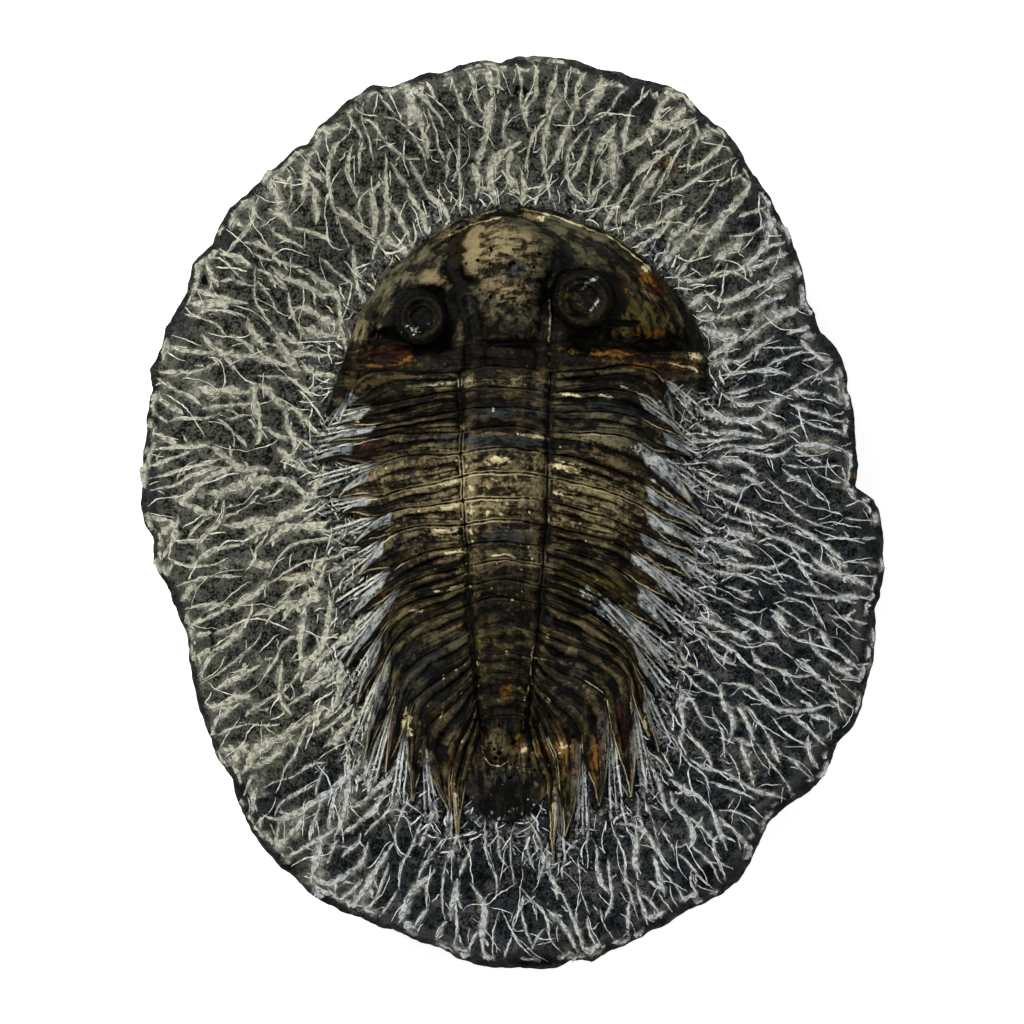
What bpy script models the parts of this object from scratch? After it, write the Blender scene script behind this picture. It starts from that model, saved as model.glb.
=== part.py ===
"""A Treveropyge trilobite, lying back up in a loose slab of its own limestone, at its real size.

The slab rests on a flat cut base and keeps its broken, fluted edge. The animal lies in a shallow
hollow in the slab: a head shield with two eyes, eleven thoracic segments, and a tail shield with
five pairs of spines. Seen from above the head points to +Y and +Z is up. The origin is at the
middle of the base. Lengths below are in millimetres, and become metres where a mesh is made.
"""

import math
from dataclasses import dataclass
from itertools import accumulate

import bmesh
import bpy
import numpy as np
from mathutils import Vector, noise

MM = 0.001
GAP = 0.3  # clear space between neighbouring pieces

# The slab: cusps between the flutes of its broken edge, seen from above, anticlockwise from the
# middle of the head end.
SLAB_CUSPS = (
    (-1.3, 50.6), (-4.9, 50.6), (-7.9, 49.5), (-11.4, 48.8), (-13.6, 47.9), (-15.7, 48.2), (-17.0, 47.2),
    (-20.3, 44.7), (-22.9, 41.7), (-25.9, 39.5), (-28.6, 37.0), (-30.6, 35.4), (-33.0, 32.4),
    (-33.8, 30.2), (-36.0, 27.9), (-36.7, 24.8), (-38.0, 22.7), (-39.4, 18.9), (-40.8, 15.9),
    (-40.5, 13.8), (-41.2, 9.1), (-41.8, 0.4), (-40.5, -3.0), (-40.4, -5.5), (-38.6, -8.8),
    (-36.5, -14.4), (-35.9, -19.5), (-34.3, -24.9), (-33.2, -27.8), (-31.6, -30.2), (-30.4, -34.0),
    (-27.9, -38.0), (-24.8, -41.1), (-21.3, -44.0), (-17.2, -45.7), (-12.5, -47.5), (-8.0, -49.2),
    (-4.4, -51.0), (1.0, -51.4), (5.4, -51.3), (6.5, -50.6), (9.0, -50.7), (11.3, -49.4), (15.0, -47.6), (18.9, -45.5),
    (21.3, -44.4), (25.4, -41.8), (27.9, -37.2), (29.0, -34.9), (31.2, -33.0), (34.8, -30.4), (36.7, -26.1),
    (38.5, -24.3), (39.7, -20.5), (41.0, -14.4), (40.8, -11.0), (41.6, -9.4), (41.8, -3.8),
    (41.5, -0.1), (40.7, 1.4), (38.8, 2.8), (38.8, 8.0), (37.9, 13.9), (37.1, 17.5), (34.7, 20.5),
    (33.2, 23.9), (32.4, 28.3), (30.4, 32.8), (27.9, 37.1), (26.3, 39.6), (24.0, 43.0), (21.6, 44.6), (19.5, 47.2),
    (15.0, 48.6), (9.6, 49.9), (5.7, 51.1), (2.6, 51.4),
)
FLUTE_SPAN = 3.4  # a longer run between two cusps gets a point of its own in the middle
FLUTE_BOW = 0.25  # how far that point stands out
SLAB_RIM = 19.4  # height of the broken rim above the base
FLOOR = 16.6  # height of the hollow's floor above the base
HOLLOW_CENTRE = (0.0, -1.5)
HOLLOW_HALF = (26.0, 40.5)
# Rings of the slab's side, from the base up: height, share of the outline, how far facets stray.
SIDE_RINGS = (
    (0.0, 0.935, 0.0),
    (0.8, 0.952, 0.2),
    (4.2, 0.97, 1.3),
    (8.6, 0.985, 1.6),
    (12.2, 0.995, 0.9),
    (14.6, 1.0, 0.0),
    (17.6, 0.99, 0.7),
)
# Rings of its top, from the rim in: share of the way to the hollow's floor, height, roughness.
TOP_RINGS = (
    (0.14, SLAB_RIM, 0.6),
    (0.34, 19.3, 0.6),
    (0.56, 18.7, 0.5),
    (0.78, 17.7, 0.3),
    (1.0, FLOOR, 0.0),
)
LUMP_SIZE = 7.0  # distance between the lumps on the slab's top
FACET_SIZE = 4.2  # distance between the broken facets of its side

# The animal's axis, from the head shield's rear edge back.
AXIS_X = -0.8
HEAD_REAR_Y = 15.6
SEGMENT_LENGTHS = (2.2, 2.2, 2.3, 2.4, 2.7, 2.7, 2.5, 2.4, 2.2, 2.2, 2.1)
RIB_LENGTHS = (2.9, 2.8, 2.7, 2.5, 2.2)
SEGMENTS = len(SEGMENT_LENGTHS)
RIBS = len(RIB_LENGTHS)
EDGE_Y = tuple(HEAD_REAR_Y - d for d in accumulate((0.0,) + SEGMENT_LENGTHS + RIB_LENGTHS))
TAIL_END_Y = -34.8
TAIL_END_HALF_WIDTH = 2.6
AXIS_HALF_WIDTHS = ((15.6, 5.0), (0.0, 4.6), (-10.3, 3.9), (-23.4, 2.6))
RING_BOW = 0.5  # how far a ring's edge bows forward in the middle

# Heights above the hollow's floor.
TIP_TOP = 1.0
PLEURA_TOPS = ((0, 6.3), (5, 6.4), (11, 5.4), (16, 3.4))
RING_TOPS = ((0, 8.5), (5, 8.6), (11, 7.4), (14, 6.0), (16, 4.8))
FURROW_DEPTH = 0.8
TAIL_END_TOP = 1.6

# Pleurae and tail ribs: where neighbours part, and how they leave the axis and bend.
FORK_AT = 0.62  # share of a rib's run at which it parts from its neighbour
TIP_HALF_WIDTH = 0.22
TIP_HOOK = 0.35  # how much a spine turns tailwards on its way out
LEAVING_ANGLES = ((0, 3.0), (4, 8.0), (11, 20.0), (13, 42.0), (16, 78.0))
RIB_STATIONS = (0.0, 0.09, 0.22, 0.38, 0.52, FORK_AT, 0.73, 0.86, 1.0)
RIB_ROWS = (0.0, 0.26, 0.48, 0.74, 1.0)
RING_STATIONS = (-1.0, -0.8, -0.42, 0.0, 0.42, 0.8, 1.0)

# Head shield.
HEAD_CENTRE = (1.0, HEAD_REAR_Y)
HEAD_HALF_WIDTHS = {-1: 19.8, 1: 20.9}
HEAD_LENGTH = 18.6
HEAD_ROUNDNESS = 1.75  # 2 is an ellipse, and less draws the shoulders in
HEAD_ROWS = (0.0, 0.04, 0.09, 0.15, 0.23, 0.32, 0.42, 0.52, 0.62, 0.72, 0.81, 0.86, 0.92, 1.0)
HEAD_RING_STATIONS = (-0.7, -0.35, 0.0, 0.35, 0.7)
HEAD_STATIONS = (0.0, 0.06, 0.12, 0.19, 0.27, 0.35, 0.43, 0.5, 0.56, FORK_AT, 0.75, 0.88, 1.0)
HEAD_SHARE = 0.64  # the head shield leaves this share of the gap behind it, for its own way of bending
CORNER_MERGE = 0.08  # points of the sheet this close become one, at the tips of the corner spines
GLABELLA_FAN = 16.0  # bearing either side of straight ahead that the glabella's front spans
MARGIN_END = 8.0  # bearing off sideways at which the margin turns into the corner spine's edge
HEAD_EDGE_TOP = 1.0
CHEEK_TOP = 6.6
GLABELLA_X = -0.3
GLABELLA_HALF_WIDTHS = (
    (15.6, 4.6), (19.0, 4.5), (22.5, 4.9), (27.0, 6.3), (30.0, 5.9), (32.0, 4.2), (33.2, 2.2),
)
GLABELLA_TOPS = (
    (15.6, 8.3), (19.0, 8.5), (24.0, 9.5), (28.0, 9.7), (31.0, 8.0), (32.4, 5.4), (33.4, 2.4),
)
NECK_FURROW_Y = 18.7
SIDE_FURROWS_Y = (21.0, 23.0, 25.2)
NECK_FURROW_DEPTH = 0.9
SIDE_FURROW_DEPTH = 0.5
AXIAL_FURROW_DEPTH = 0.7
BORDER = (0.95, 0.03, 0.5)  # raised border: share of the way out, width, height
BORDER_FURROW = (0.885, 0.04, 0.6)
CHEEK_FURROW_Y = 19.0
CHEEK_FURROW_DEPTH = 2.0
BROW_HEIGHT = 1.2
BROW_WIDTH = 0.9
EYE_SIDES = 16
EYE_ROOT = 2.2  # how deep a turret is sunk into the cheek


@dataclass(frozen=True)
class Flank:
    """One side of the animal: its way out, the tips of its spines and where they part.

    The first tip is the head shield's, then come those of the segments, then the tail's. The first
    fork is behind the head shield, and the others are behind one rib each.
    """

    out: int
    tips: tuple
    forks: tuple


@dataclass(frozen=True)
class Eye:
    """One compound eye: a turret with a sunken top, and a brow round its front at a distance."""

    name: str
    centre: tuple
    radius: float
    top: float
    brow_gap: float


LEFT = Flank(
    out=-1,
    tips=(
        (-20.7, 10.6), (-18.3, 11.8), (-19.4, 9.7), (-20.7, 7.8), (-21.9, 5.8), (-19.5, 1.6),
        (-19.1, -0.1), (-17.4, -3.7), (-17.3, -7.1), (-18.2, -11.9), (-18.5, -17.5), (-17.4, -21.5),
        (-16.6, -27.6), (-14.1, -29.2), (-11.1, -32.4), (-7.2, -33.3), (-6.3, -36.0),
    ),
    forks=(
        (-18.1, 13.6), (-14.3, 12.0), (-15.4, 9.7), (-15.6, 8.3), (-13.4, 5.9), (-14.1, 1.9),
        (-14.3, -0.3), (-13.5, -2.6), (-12.5, -5.7), (-13.3, -9.1), (-13.6, -12.2), (-13.8, -15.9),
        (-12.9, -20.0), (-11.6, -22.7), (-9.8, -25.9), (-6.7, -29.6), (-5.3, -31.5),
    ),
)
RIGHT = Flank(
    out=1,
    tips=(
        (21.6, 14.1), (18.0, 10.2), (19.3, 8.0), (20.0, 6.2), (20.8, -0.1), (20.9, -2.5),
        (20.9, -5.0), (20.1, -7.7), (19.2, -10.5), (17.6, -13.7), (17.5, -17.9), (16.2, -20.6),
        (16.3, -27.0), (13.5, -32.1), (9.9, -33.0), (5.9, -36.5), (4.6, -38.0),
    ),
    forks=(
        (16.8, 15.2), (15.1, 12.4), (15.7, 9.6), (15.3, 7.1), (16.0, 2.2), (15.5, -0.1),
        (15.3, -3.0), (14.6, -5.2), (13.5, -7.7), (11.6, -10.4), (12.9, -13.7), (13.6, -17.1),
        (13.3, -19.8), (10.9, -22.5), (7.9, -26.2), (5.1, -29.2), (3.9, -31.5),
    ),
)
EYES = (
    Eye("eye_left", (-10.1, 21.7), 2.5, 8.2, 1.9),
    Eye("eye_right", (7.9, 23.7), 3.0, 8.6, 0.9),
)


def along(keys, x):
    """The value at x on the line through (position, value) keys."""
    keys = sorted(keys)
    return float(np.interp(x, [k[0] for k in keys], [k[1] for k in keys]))


def soft_step(low, high, x):
    """0 below low and 1 above high, with a soft rise between."""
    t = min(max((x - low) / (high - low), 0.0), 1.0)
    return t * t * (3.0 - 2.0 * t)


def ridge(x, centre, width):
    """1 at the centre, falling off over the width on both sides."""
    return math.exp(-(((x - centre) / width) ** 2))


def bezier(p0, p1, p2, p3, t):
    """A point on a cubic curve between p0 and p3."""
    s = 1.0 - t
    return p0 * s**3 + p1 * 3.0 * s * s * t + p2 * 3.0 * s * t * t + p3 * t**3


def new_object(name, bm, material):
    """Turns a bmesh in millimetres into an object in metres."""
    bmesh.ops.scale(bm, vec=(MM, MM, MM), verts=bm.verts)
    mesh = bpy.data.meshes.new(name)
    bm.to_mesh(mesh)
    bm.free()
    mesh.materials.append(material)
    mesh.shade_smooth()
    mesh.set_sharp_from_angle(angle=math.radians(40.0))
    obj = bpy.data.objects.new(name, mesh)
    bpy.context.collection.objects.link(obj)
    return obj


def new_material(name, colour, roughness):
    """A plain stone-like material."""
    material = bpy.data.materials.new(name)
    material.use_nodes = True
    shader = material.node_tree.nodes["Principled BSDF"]
    shader.inputs["Base Color"].default_value = (*colour, 1.0)
    shader.inputs["Roughness"].default_value = roughness
    shader.inputs["Metallic"].default_value = 0.0
    material.diffuse_color = (*colour, 1.0)
    return material


def fill_loop(bm, edges):
    """Closes a ring of edges with flat triangles."""
    made = bmesh.ops.edgeloop_fill(bm, edges=edges)
    bmesh.ops.triangulate(bm, faces=made["faces"], ngon_method="EAR_CLIP")


def add_grid(bm, rows):
    """Adds a sheet of quads through rows of points that run left to right, head end first."""
    verts = [[bm.verts.new(p) for p in row] for row in rows]
    for ahead, behind in zip(verts, verts[1:]):
        for j in range(len(ahead) - 1):
            bm.faces.new((ahead[j], behind[j], behind[j + 1], ahead[j + 1]))


def close_below(bm, height):
    """Turns an open sheet into a solid that stands on a flat underside."""
    rim = [e for e in bm.edges if e.is_boundary]
    made = bmesh.ops.extrude_edge_only(bm, edges=rim)["geom"]
    lowered = [v for v in made if isinstance(v, bmesh.types.BMVert)]
    for vert in lowered:
        vert.co.z = height
    fill_loop(bm, [e for e in made if isinstance(e, bmesh.types.BMEdge) and e.is_boundary])
    bmesh.ops.recalc_face_normals(bm, faces=bm.faces)


def slab_outline():
    """The slab's edge from above: its cusps, with a point in the middle of each long flute."""
    points = []
    for here, after in zip(SLAB_CUSPS, SLAB_CUSPS[1:] + SLAB_CUSPS[:1]):
        start = Vector(here)
        run = Vector(after) - start
        points.append(start)
        if run.length > FLUTE_SPAN:
            outward = Vector((run.y, -run.x)).normalized()
            points.append(start + run * 0.5 + outward * FLUTE_BOW)
    return points


def slab_ring(outline, share, height, stray):
    """A ring of the slab's side: the outline drawn in, with its facets in and out by stray."""
    ring = []
    for p in outline:
        lump = 1.0 + noise.noise(Vector((p.x, p.y, height)) / FACET_SIZE)
        drawn = share * (1.0 - stray * lump / p.length)
        ring.append(Vector((p.x * drawn, p.y * drawn, height)))
    return ring


def hollow_ring(outline, share, height, rough):
    """A ring of the slab's top, between its rim and the edge of the hollow's flat floor."""
    ring = []
    for p in outline:
        angle = math.atan2(p.y / HOLLOW_HALF[1], p.x / HOLLOW_HALF[0])
        end = Vector(
            (
                HOLLOW_CENTRE[0] + HOLLOW_HALF[0] * math.cos(angle),
                HOLLOW_CENTRE[1] + HOLLOW_HALF[1] * math.sin(angle),
            )
        )
        flat = p.lerp(end, share)
        lift = rough * noise.noise(Vector((flat.x, flat.y, 0.0)) / LUMP_SIZE)
        ring.append(Vector((flat.x, flat.y, height + lift)))
    return ring


def make_slab(material):
    """The limestone slab: flat base, fluted side, rough rim and the hollow that holds the animal."""
    outline = slab_outline()
    rings = [slab_ring(outline, share, height, stray) for height, share, stray in SIDE_RINGS]
    rings += [hollow_ring(outline, share, height, rough) for share, height, rough in TOP_RINGS]
    bm = bmesh.new()
    loops = [[bm.verts.new(p) for p in ring] for ring in rings]
    count = len(outline)
    for low, high in zip(loops, loops[1:]):
        for i in range(count):
            j = (i + 1) % count
            bm.faces.new((low[i], low[j], high[j], high[i]))
    for loop in (loops[0], loops[-1]):
        fill_loop(bm, [bm.edges.get((loop[i], loop[(i + 1) % count])) for i in range(count)])
    bmesh.ops.recalc_face_normals(bm, faces=bm.faces)
    return new_object("matrix", bm, material)


def furrow_point(flank, y):
    """The axial furrow of one flank at y."""
    return Vector((AXIS_X + flank.out * along(AXIS_HALF_WIDTHS, y), y))


def fork_way(flank, edge):
    """The direction in which two neighbouring ribs part, halfway between their tips."""
    fork = Vector(flank.forks[edge])
    tips = flank.tips[edge : edge + 2]
    way = Vector((0.0, 0.0))
    for tip in tips:
        way += (Vector(tip) - fork).normalized()
    return way.normalized()


def tip_corner(flank, rib, root, side):
    """A corner of a spine's blunt tip, side 1 for the outer one, and the way the spine arrives."""
    tip = Vector(flank.tips[rib])
    arrive = ((tip - root).normalized() + Vector((0.0, -TIP_HOOK))).normalized()
    outer = Vector((-arrive.y, arrive.x)) * flank.out
    return tip + outer * side * TIP_HALF_WIDTH, arrive


def rib_edge(flank, edge, rib, u):
    """A point on an edge of a rib, for u from 0 at the axial furrow to 1 at the rib's tip."""
    fork = Vector(flank.forks[edge])
    way = fork_way(flank, edge)
    if u <= FORK_AT:
        start = furrow_point(flank, EDGE_Y[edge])
        angle = math.radians(along(LEAVING_ANGLES, edge))
        leave = Vector((flank.out * math.cos(angle), -math.sin(angle)))
        reach = (fork - start).length
        return bezier(start, start + leave * reach * 0.42, fork - way * reach * 0.32, fork, u / FORK_AT)
    end, arrive = tip_corner(flank, rib, fork, 1 if edge < rib else -1)
    reach = (end - fork).length
    t = (u - FORK_AT) / (1.0 - FORK_AT)
    return bezier(fork, fork + way * reach * 0.38, end - arrive * reach * 0.3, end, t)


def ring_edge(edge, t):
    """A point on the edge of an axial ring, for t from -1 at the left furrow to 1 at the right."""
    y = EDGE_Y[edge]
    return Vector((AXIS_X + t * along(AXIS_HALF_WIDTHS, y), y + RING_BOW * (1.0 - t * t)))


def inset(line, distance):
    """A line from left to right moved ahead by the distance, or back where it is negative."""
    runs = [(after - here).normalized() for here, after in zip(line, line[1:])]
    moved = []
    for p, arriving, leaving in zip(line, runs[:1] + runs, runs + runs[-1:]):
        run = (arriving + leaving).normalized()
        moved.append(p + Vector((-run.y, run.x)) * distance / run.dot(leaving))
    return moved


def whole_edge(edge, rib):
    """An edge of a segment from its left tip over the axis to its right tip."""
    line = [rib_edge(LEFT, edge, rib, u) for u in reversed(RIB_STATIONS)]
    line += [ring_edge(edge, t) for t in RING_STATIONS[1:-1]]
    line += [rib_edge(RIGHT, edge, rib, u) for u in RIB_STATIONS]
    return line


def rib_top(place, u):
    """Height of a pleura or tail rib on its back, place counting ribs from the head shield."""
    crest = along(PLEURA_TOPS, place)
    groove = FURROW_DEPTH * ridge(u, 0.0, 0.06)
    return TIP_TOP + (crest - TIP_TOP) * (1.0 - u**2.3) - groove


def rib_relief(u, v):
    """Relief across a rib: two bands with the oblique pleural furrow between, then one keel."""
    furrow_at = 0.4 + 0.2 * u
    bands = 0.75 * math.sin(math.pi * v) ** 0.6 - 0.5 - 0.55 * ridge(v, furrow_at, 0.13)
    keel = 0.7 * math.sin(math.pi * v) - 0.45
    share = soft_step(FORK_AT - 0.18, FORK_AT + 0.12, u)
    strength = soft_step(0.0, 0.1, u) * (1.0 - 0.25 * u)
    return strength * (bands + (keel - bands) * share)


def ring_relief(rib, v):
    """Relief along an axial ring: one band on a segment, and two narrow ones on a tail rib."""
    if rib > SEGMENTS:
        return -0.15 * (1.0 + math.cos(4.0 * math.pi * v))
    return 0.55 * math.sin(math.pi * (0.12 + 0.88 * v)) ** 0.7 - 0.55


def ring_top(place, t):
    """Height of the axial lobe, arched between the two axial furrows."""
    side = along(PLEURA_TOPS, place) - FURROW_DEPTH
    return side + (along(RING_TOPS, place) - side) * (1.0 - abs(t) ** 2.4) ** 0.7


def rib_rows(rib, front, back):
    """Rows of points of one segment or pair of tail ribs, from the left tip to the right one."""
    left = [(False, u) for u in reversed(RIB_STATIONS)]
    middle = [(True, t) for t in RING_STATIONS[1:-1]]
    right = [(False, u) for u in RIB_STATIONS]
    rows = []
    for v in RIB_ROWS:
        place = rib - 1 + v
        row = []
        for (on_axis, at), ahead, behind in zip(left + middle + right, front, back):
            if on_axis:
                top = ring_top(place, at) + ring_relief(rib, v) * (1.0 - abs(at) ** 3)
            else:
                top = rib_top(place, at) + rib_relief(at, v)
            row.append(Vector((*ahead.lerp(behind, v), FLOOR + top)))
        rows.append(row)
    return rows


def make_segment(number, material):
    """One thoracic segment: its axial ring between two pleurae that end in free spines."""
    front = inset(whole_edge(number - 1, number), -GAP / 2)
    back = inset(whole_edge(number, number), GAP / 2)
    bm = bmesh.new()
    add_grid(bm, rib_rows(number, front, back))
    close_below(bm, FLOOR + GAP)
    return new_object(f"thoracic_segment_{number:02d}", bm, material)


def flap_rows():
    """Rows of points of the flap behind the tail's axis, from the last ring to its blunt end."""
    last = SEGMENTS + RIBS
    rows = []
    for u in RIB_STATIONS[: RIB_STATIONS.index(FORK_AT) + 1]:
        left = rib_edge(LEFT, last, last, u)
        right = rib_edge(RIGHT, last, last, u)
        side = rib_top(last, u) + rib_relief(u, 1.0)
        row = []
        for t in RING_STATIONS:
            flat = left.lerp(right, (t + 1.0) / 2.0) if u > 0.0 else ring_edge(last, t)
            arch = (ring_top(last, t) - ring_top(last, 1.0)) * (1.0 - u) ** 2
            arch += ring_relief(last, 1.0) * (1.0 - abs(t) ** 3)
            row.append(Vector((*flat, FLOOR + side + arch)))
        rows.append(row)
    parted = rows[-1]
    for share in (0.5, 1.0):
        row = []
        for t, p in zip(RING_STATIONS, parted):
            end = (AXIS_X + t * TAIL_END_HALF_WIDTH, TAIL_END_Y + 0.8 * t * t, FLOOR + TAIL_END_TOP)
            row.append(p.lerp(Vector(end), share))
        rows.append(row)
    return rows


def make_tail(material):
    """The tail shield: ringed axis, five ribs a side that run out into spines, and the end flap."""
    first = SEGMENTS + 1
    bm = bmesh.new()
    front = inset(whole_edge(SEGMENTS, first), -GAP / 2)
    for rib in range(first, first + RIBS):
        add_grid(bm, rib_rows(rib, front, whole_edge(rib, rib)))
        front = whole_edge(rib, rib + 1) if rib < SEGMENTS + RIBS else None
    add_grid(bm, flap_rows())
    bmesh.ops.remove_doubles(bm, verts=bm.verts, dist=0.002)
    close_below(bm, FLOOR + GAP)
    return new_object("pygidium", bm, material)


def margin_point(bearing):
    """A point on the rounded front margin of the head shield, at a bearing in degrees from +X."""
    across = math.cos(math.radians(bearing))
    ahead = math.sin(math.radians(bearing))
    power = 2.0 / HEAD_ROUNDNESS
    half = HEAD_HALF_WIDTHS[1 if across > 0.0 else -1]
    x = math.copysign(half * abs(across) ** power, across)
    return Vector(HEAD_CENTRE) + Vector((x, HEAD_LENGTH * max(ahead, 0.0) ** power))


def share_out(x, y):
    """How far out a point of the head shield lies: 0 at its middle and 1 on its margin."""
    across = abs(x - HEAD_CENTRE[0]) / HEAD_HALF_WIDTHS[1 if x > HEAD_CENTRE[0] else -1]
    ahead = max(y - HEAD_CENTRE[1], 0.0) / HEAD_LENGTH
    return min((across**HEAD_ROUNDNESS + ahead**HEAD_ROUNDNESS) ** (1.0 / HEAD_ROUNDNESS), 1.0)


def head_front(flank, u):
    """A point on the head shield's front margin, or on the outer edge of its corner spine."""
    off_middle = GLABELLA_FAN + (90.0 - GLABELLA_FAN - MARGIN_END) * min(u / FORK_AT, 1.0)
    margin = margin_point(90.0 - flank.out * off_middle)
    if u <= FORK_AT:
        return margin
    end = tip_corner(flank, 0, margin, 1)[0]
    return margin.lerp(end, (u - FORK_AT) / (1.0 - FORK_AT))


def head_margins():
    """The head shield's front and rear margins, from the left corner's tip to the right one's."""
    front = [head_front(LEFT, u) for u in reversed(HEAD_STATIONS)]
    back = [rib_edge(LEFT, 0, 0, u) for u in reversed(HEAD_STATIONS)]
    for t in HEAD_RING_STATIONS:
        front.append(margin_point(90.0 - GLABELLA_FAN * t))
        back.append(ring_edge(0, t))
    front += [head_front(RIGHT, u) for u in HEAD_STATIONS]
    back += [rib_edge(RIGHT, 0, 0, u) for u in HEAD_STATIONS]
    return front, back


def cheek_top(x, y):
    """Height of a cheek: a dome with a raised border, its furrows, and the brow over each eye."""
    out = share_out(x, y)
    off_axis = abs(x - GLABELLA_X)
    flanks = soft_step(5.0, 8.0, off_axis)
    top = HEAD_EDGE_TOP + (CHEEK_TOP - HEAD_EDGE_TOP) * (1.0 - out**3.2) ** 0.8
    top += flanks * BORDER[2] * ridge(out, BORDER[0], BORDER[1])
    top -= flanks * BORDER_FURROW[2] * ridge(out, BORDER_FURROW[0], BORDER_FURROW[1])
    inside = 1.0 - soft_step(0.84, 0.94, out)
    top -= flanks * inside * CHEEK_FURROW_DEPTH * ridge(y, CHEEK_FURROW_Y, 1.3)
    beside = off_axis / along(GLABELLA_HALF_WIDTHS, y)
    top -= AXIAL_FURROW_DEPTH * ridge(beside, 1.05, 0.14) * (1.0 - soft_step(30.5, 32.5, y))
    for eye in EYES:
        off = Vector((x, y)) - Vector(eye.centre)
        bearing = math.degrees(math.atan2(off.y, off.x))
        facing = soft_step(20.0, 60.0, bearing) * (1.0 - soft_step(150.0, 180.0, bearing))
        top += BROW_HEIGHT * facing * ridge(off.length, eye.radius + eye.brow_gap, BROW_WIDTH)
    return top


def glabella_top(x, y):
    """Height of the glabella and neck ring, with the neck furrow and three pairs of side furrows."""
    share = min(abs(x - GLABELLA_X) / along(GLABELLA_HALF_WIDTHS, y), 1.0)
    top = along(GLABELLA_TOPS, y) * (1.0 - share**2.4) ** 0.55
    top -= NECK_FURROW_DEPTH * ridge(y, NECK_FURROW_Y, 0.5)
    for furrow_y in SIDE_FURROWS_Y:
        curved = ridge(y, furrow_y + 0.5 * share, 0.4)
        top -= SIDE_FURROW_DEPTH * curved * soft_step(0.35, 0.8, share)
    return top


def head_top(x, y):
    """Height of the head shield at a point."""
    return max(cheek_top(x, y), glabella_top(x, y), HEAD_EDGE_TOP)


def make_eye(eye, material):
    """The turret of one eye, which the head shield is joined with."""
    base = head_top(*eye.centre) - EYE_ROOT
    profile = (
        (0.0, eye.top - 0.7),
        (eye.radius - 1.1, eye.top - 0.5),
        (eye.radius - 0.45, eye.top),
        (eye.radius, eye.top - 0.4),
        (eye.radius + 0.45, base),
        (0.0, base),
    )
    bm = bmesh.new()
    chain = [bm.verts.new((r, 0.0, FLOOR + z)) for r, z in profile]
    edges = [bm.edges.new(pair) for pair in zip(chain, chain[1:])]
    around = {"axis": (0, 0, 1), "cent": (0, 0, 0), "steps": EYE_SIDES, "angle": math.tau}
    bmesh.ops.spin(bm, geom=chain + edges, **around)
    bmesh.ops.remove_doubles(bm, verts=bm.verts, dist=0.001)
    bmesh.ops.recalc_face_normals(bm, faces=bm.faces)
    bmesh.ops.translate(bm, vec=(*eye.centre, 0.0), verts=bm.verts)
    turret = new_object(eye.name, bm, material)
    turret.hide_render = True
    turret.display_type = "WIRE"
    return turret


def make_head(material):
    """The head shield with its glabella, cheeks, corner spines and both eyes in one solid."""
    front, back = head_margins()
    back = inset(back, GAP * HEAD_SHARE)
    rows = []
    for v in HEAD_ROWS:
        row = []
        for ahead, behind in zip(front, back):
            p = ahead.lerp(behind, v)
            row.append((p.x, p.y, FLOOR + head_top(p.x, p.y)))
        rows.append(row)
    bm = bmesh.new()
    add_grid(bm, rows)
    bmesh.ops.remove_doubles(bm, verts=bm.verts, dist=CORNER_MERGE)
    close_below(bm, FLOOR + GAP)
    head = new_object("cephalon", bm, material)
    for eye in EYES:
        union = head.modifiers.new(eye.name, "BOOLEAN")
        union.operation = "UNION"
        union.solver = "EXACT"
        union.object = make_eye(eye, material)
    return head


def main():
    """Clears the scene and makes the slab and the animal's plates."""
    for obj in list(bpy.data.objects):
        bpy.data.objects.remove(obj)
    rock = new_material("limestone", (0.075, 0.078, 0.08), 0.85)
    shell = new_material("fossil_shell", (0.035, 0.03, 0.02), 0.6)
    make_slab(rock)
    make_head(shell)
    for number in range(1, SEGMENTS + 1):
        make_segment(number, shell)
    make_tail(shell)


main()
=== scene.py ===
"""Looks of a Treveropyge trilobite in its slab of black limestone, as a preparer leaves it.

Charts of the slab seen from above hold where the preparer's cuts, the powder and the minerals
lie. The slab and the plates of the animal take their relief and their colours from them. A place
seen from above is a complex number, right and then towards the head. Lengths are in millimetres
until a mesh is made.
"""

import logging
import math
from dataclasses import dataclass, field
from enum import Enum

import bmesh
import bpy
import numpy as np
from bpy.types import Material, Mesh, Node, NodeSocket, NodeTree, Object
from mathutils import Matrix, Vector


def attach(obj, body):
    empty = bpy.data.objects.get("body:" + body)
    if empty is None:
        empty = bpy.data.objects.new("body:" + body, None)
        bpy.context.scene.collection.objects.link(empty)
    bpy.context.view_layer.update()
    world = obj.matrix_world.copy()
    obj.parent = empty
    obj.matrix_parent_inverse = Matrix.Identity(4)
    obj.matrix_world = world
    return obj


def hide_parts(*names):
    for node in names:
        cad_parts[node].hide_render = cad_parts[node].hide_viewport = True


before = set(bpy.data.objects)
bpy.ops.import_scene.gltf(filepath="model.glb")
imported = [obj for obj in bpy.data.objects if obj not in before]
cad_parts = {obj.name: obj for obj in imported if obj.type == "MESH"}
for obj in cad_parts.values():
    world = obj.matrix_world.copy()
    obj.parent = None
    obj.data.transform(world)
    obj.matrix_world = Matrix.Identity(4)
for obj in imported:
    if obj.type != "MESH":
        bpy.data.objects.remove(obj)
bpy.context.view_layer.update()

LOG = logging.getLogger("trilobite")

MM = 0.001
PIXEL = 0.112  # what one pixel of the photograph measures
PHOTO_MIDDLE = (511.5, 511.0)  # the pixel above the origin
PHOTO_SIDE = 1024
FLOOR = 16.6  # height of the hollow's floor above the base
GAP = 0.3  # clear space between the solids of neighbouring plates
JOINT = 0.05  # the same between the plates as they are seen


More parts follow.
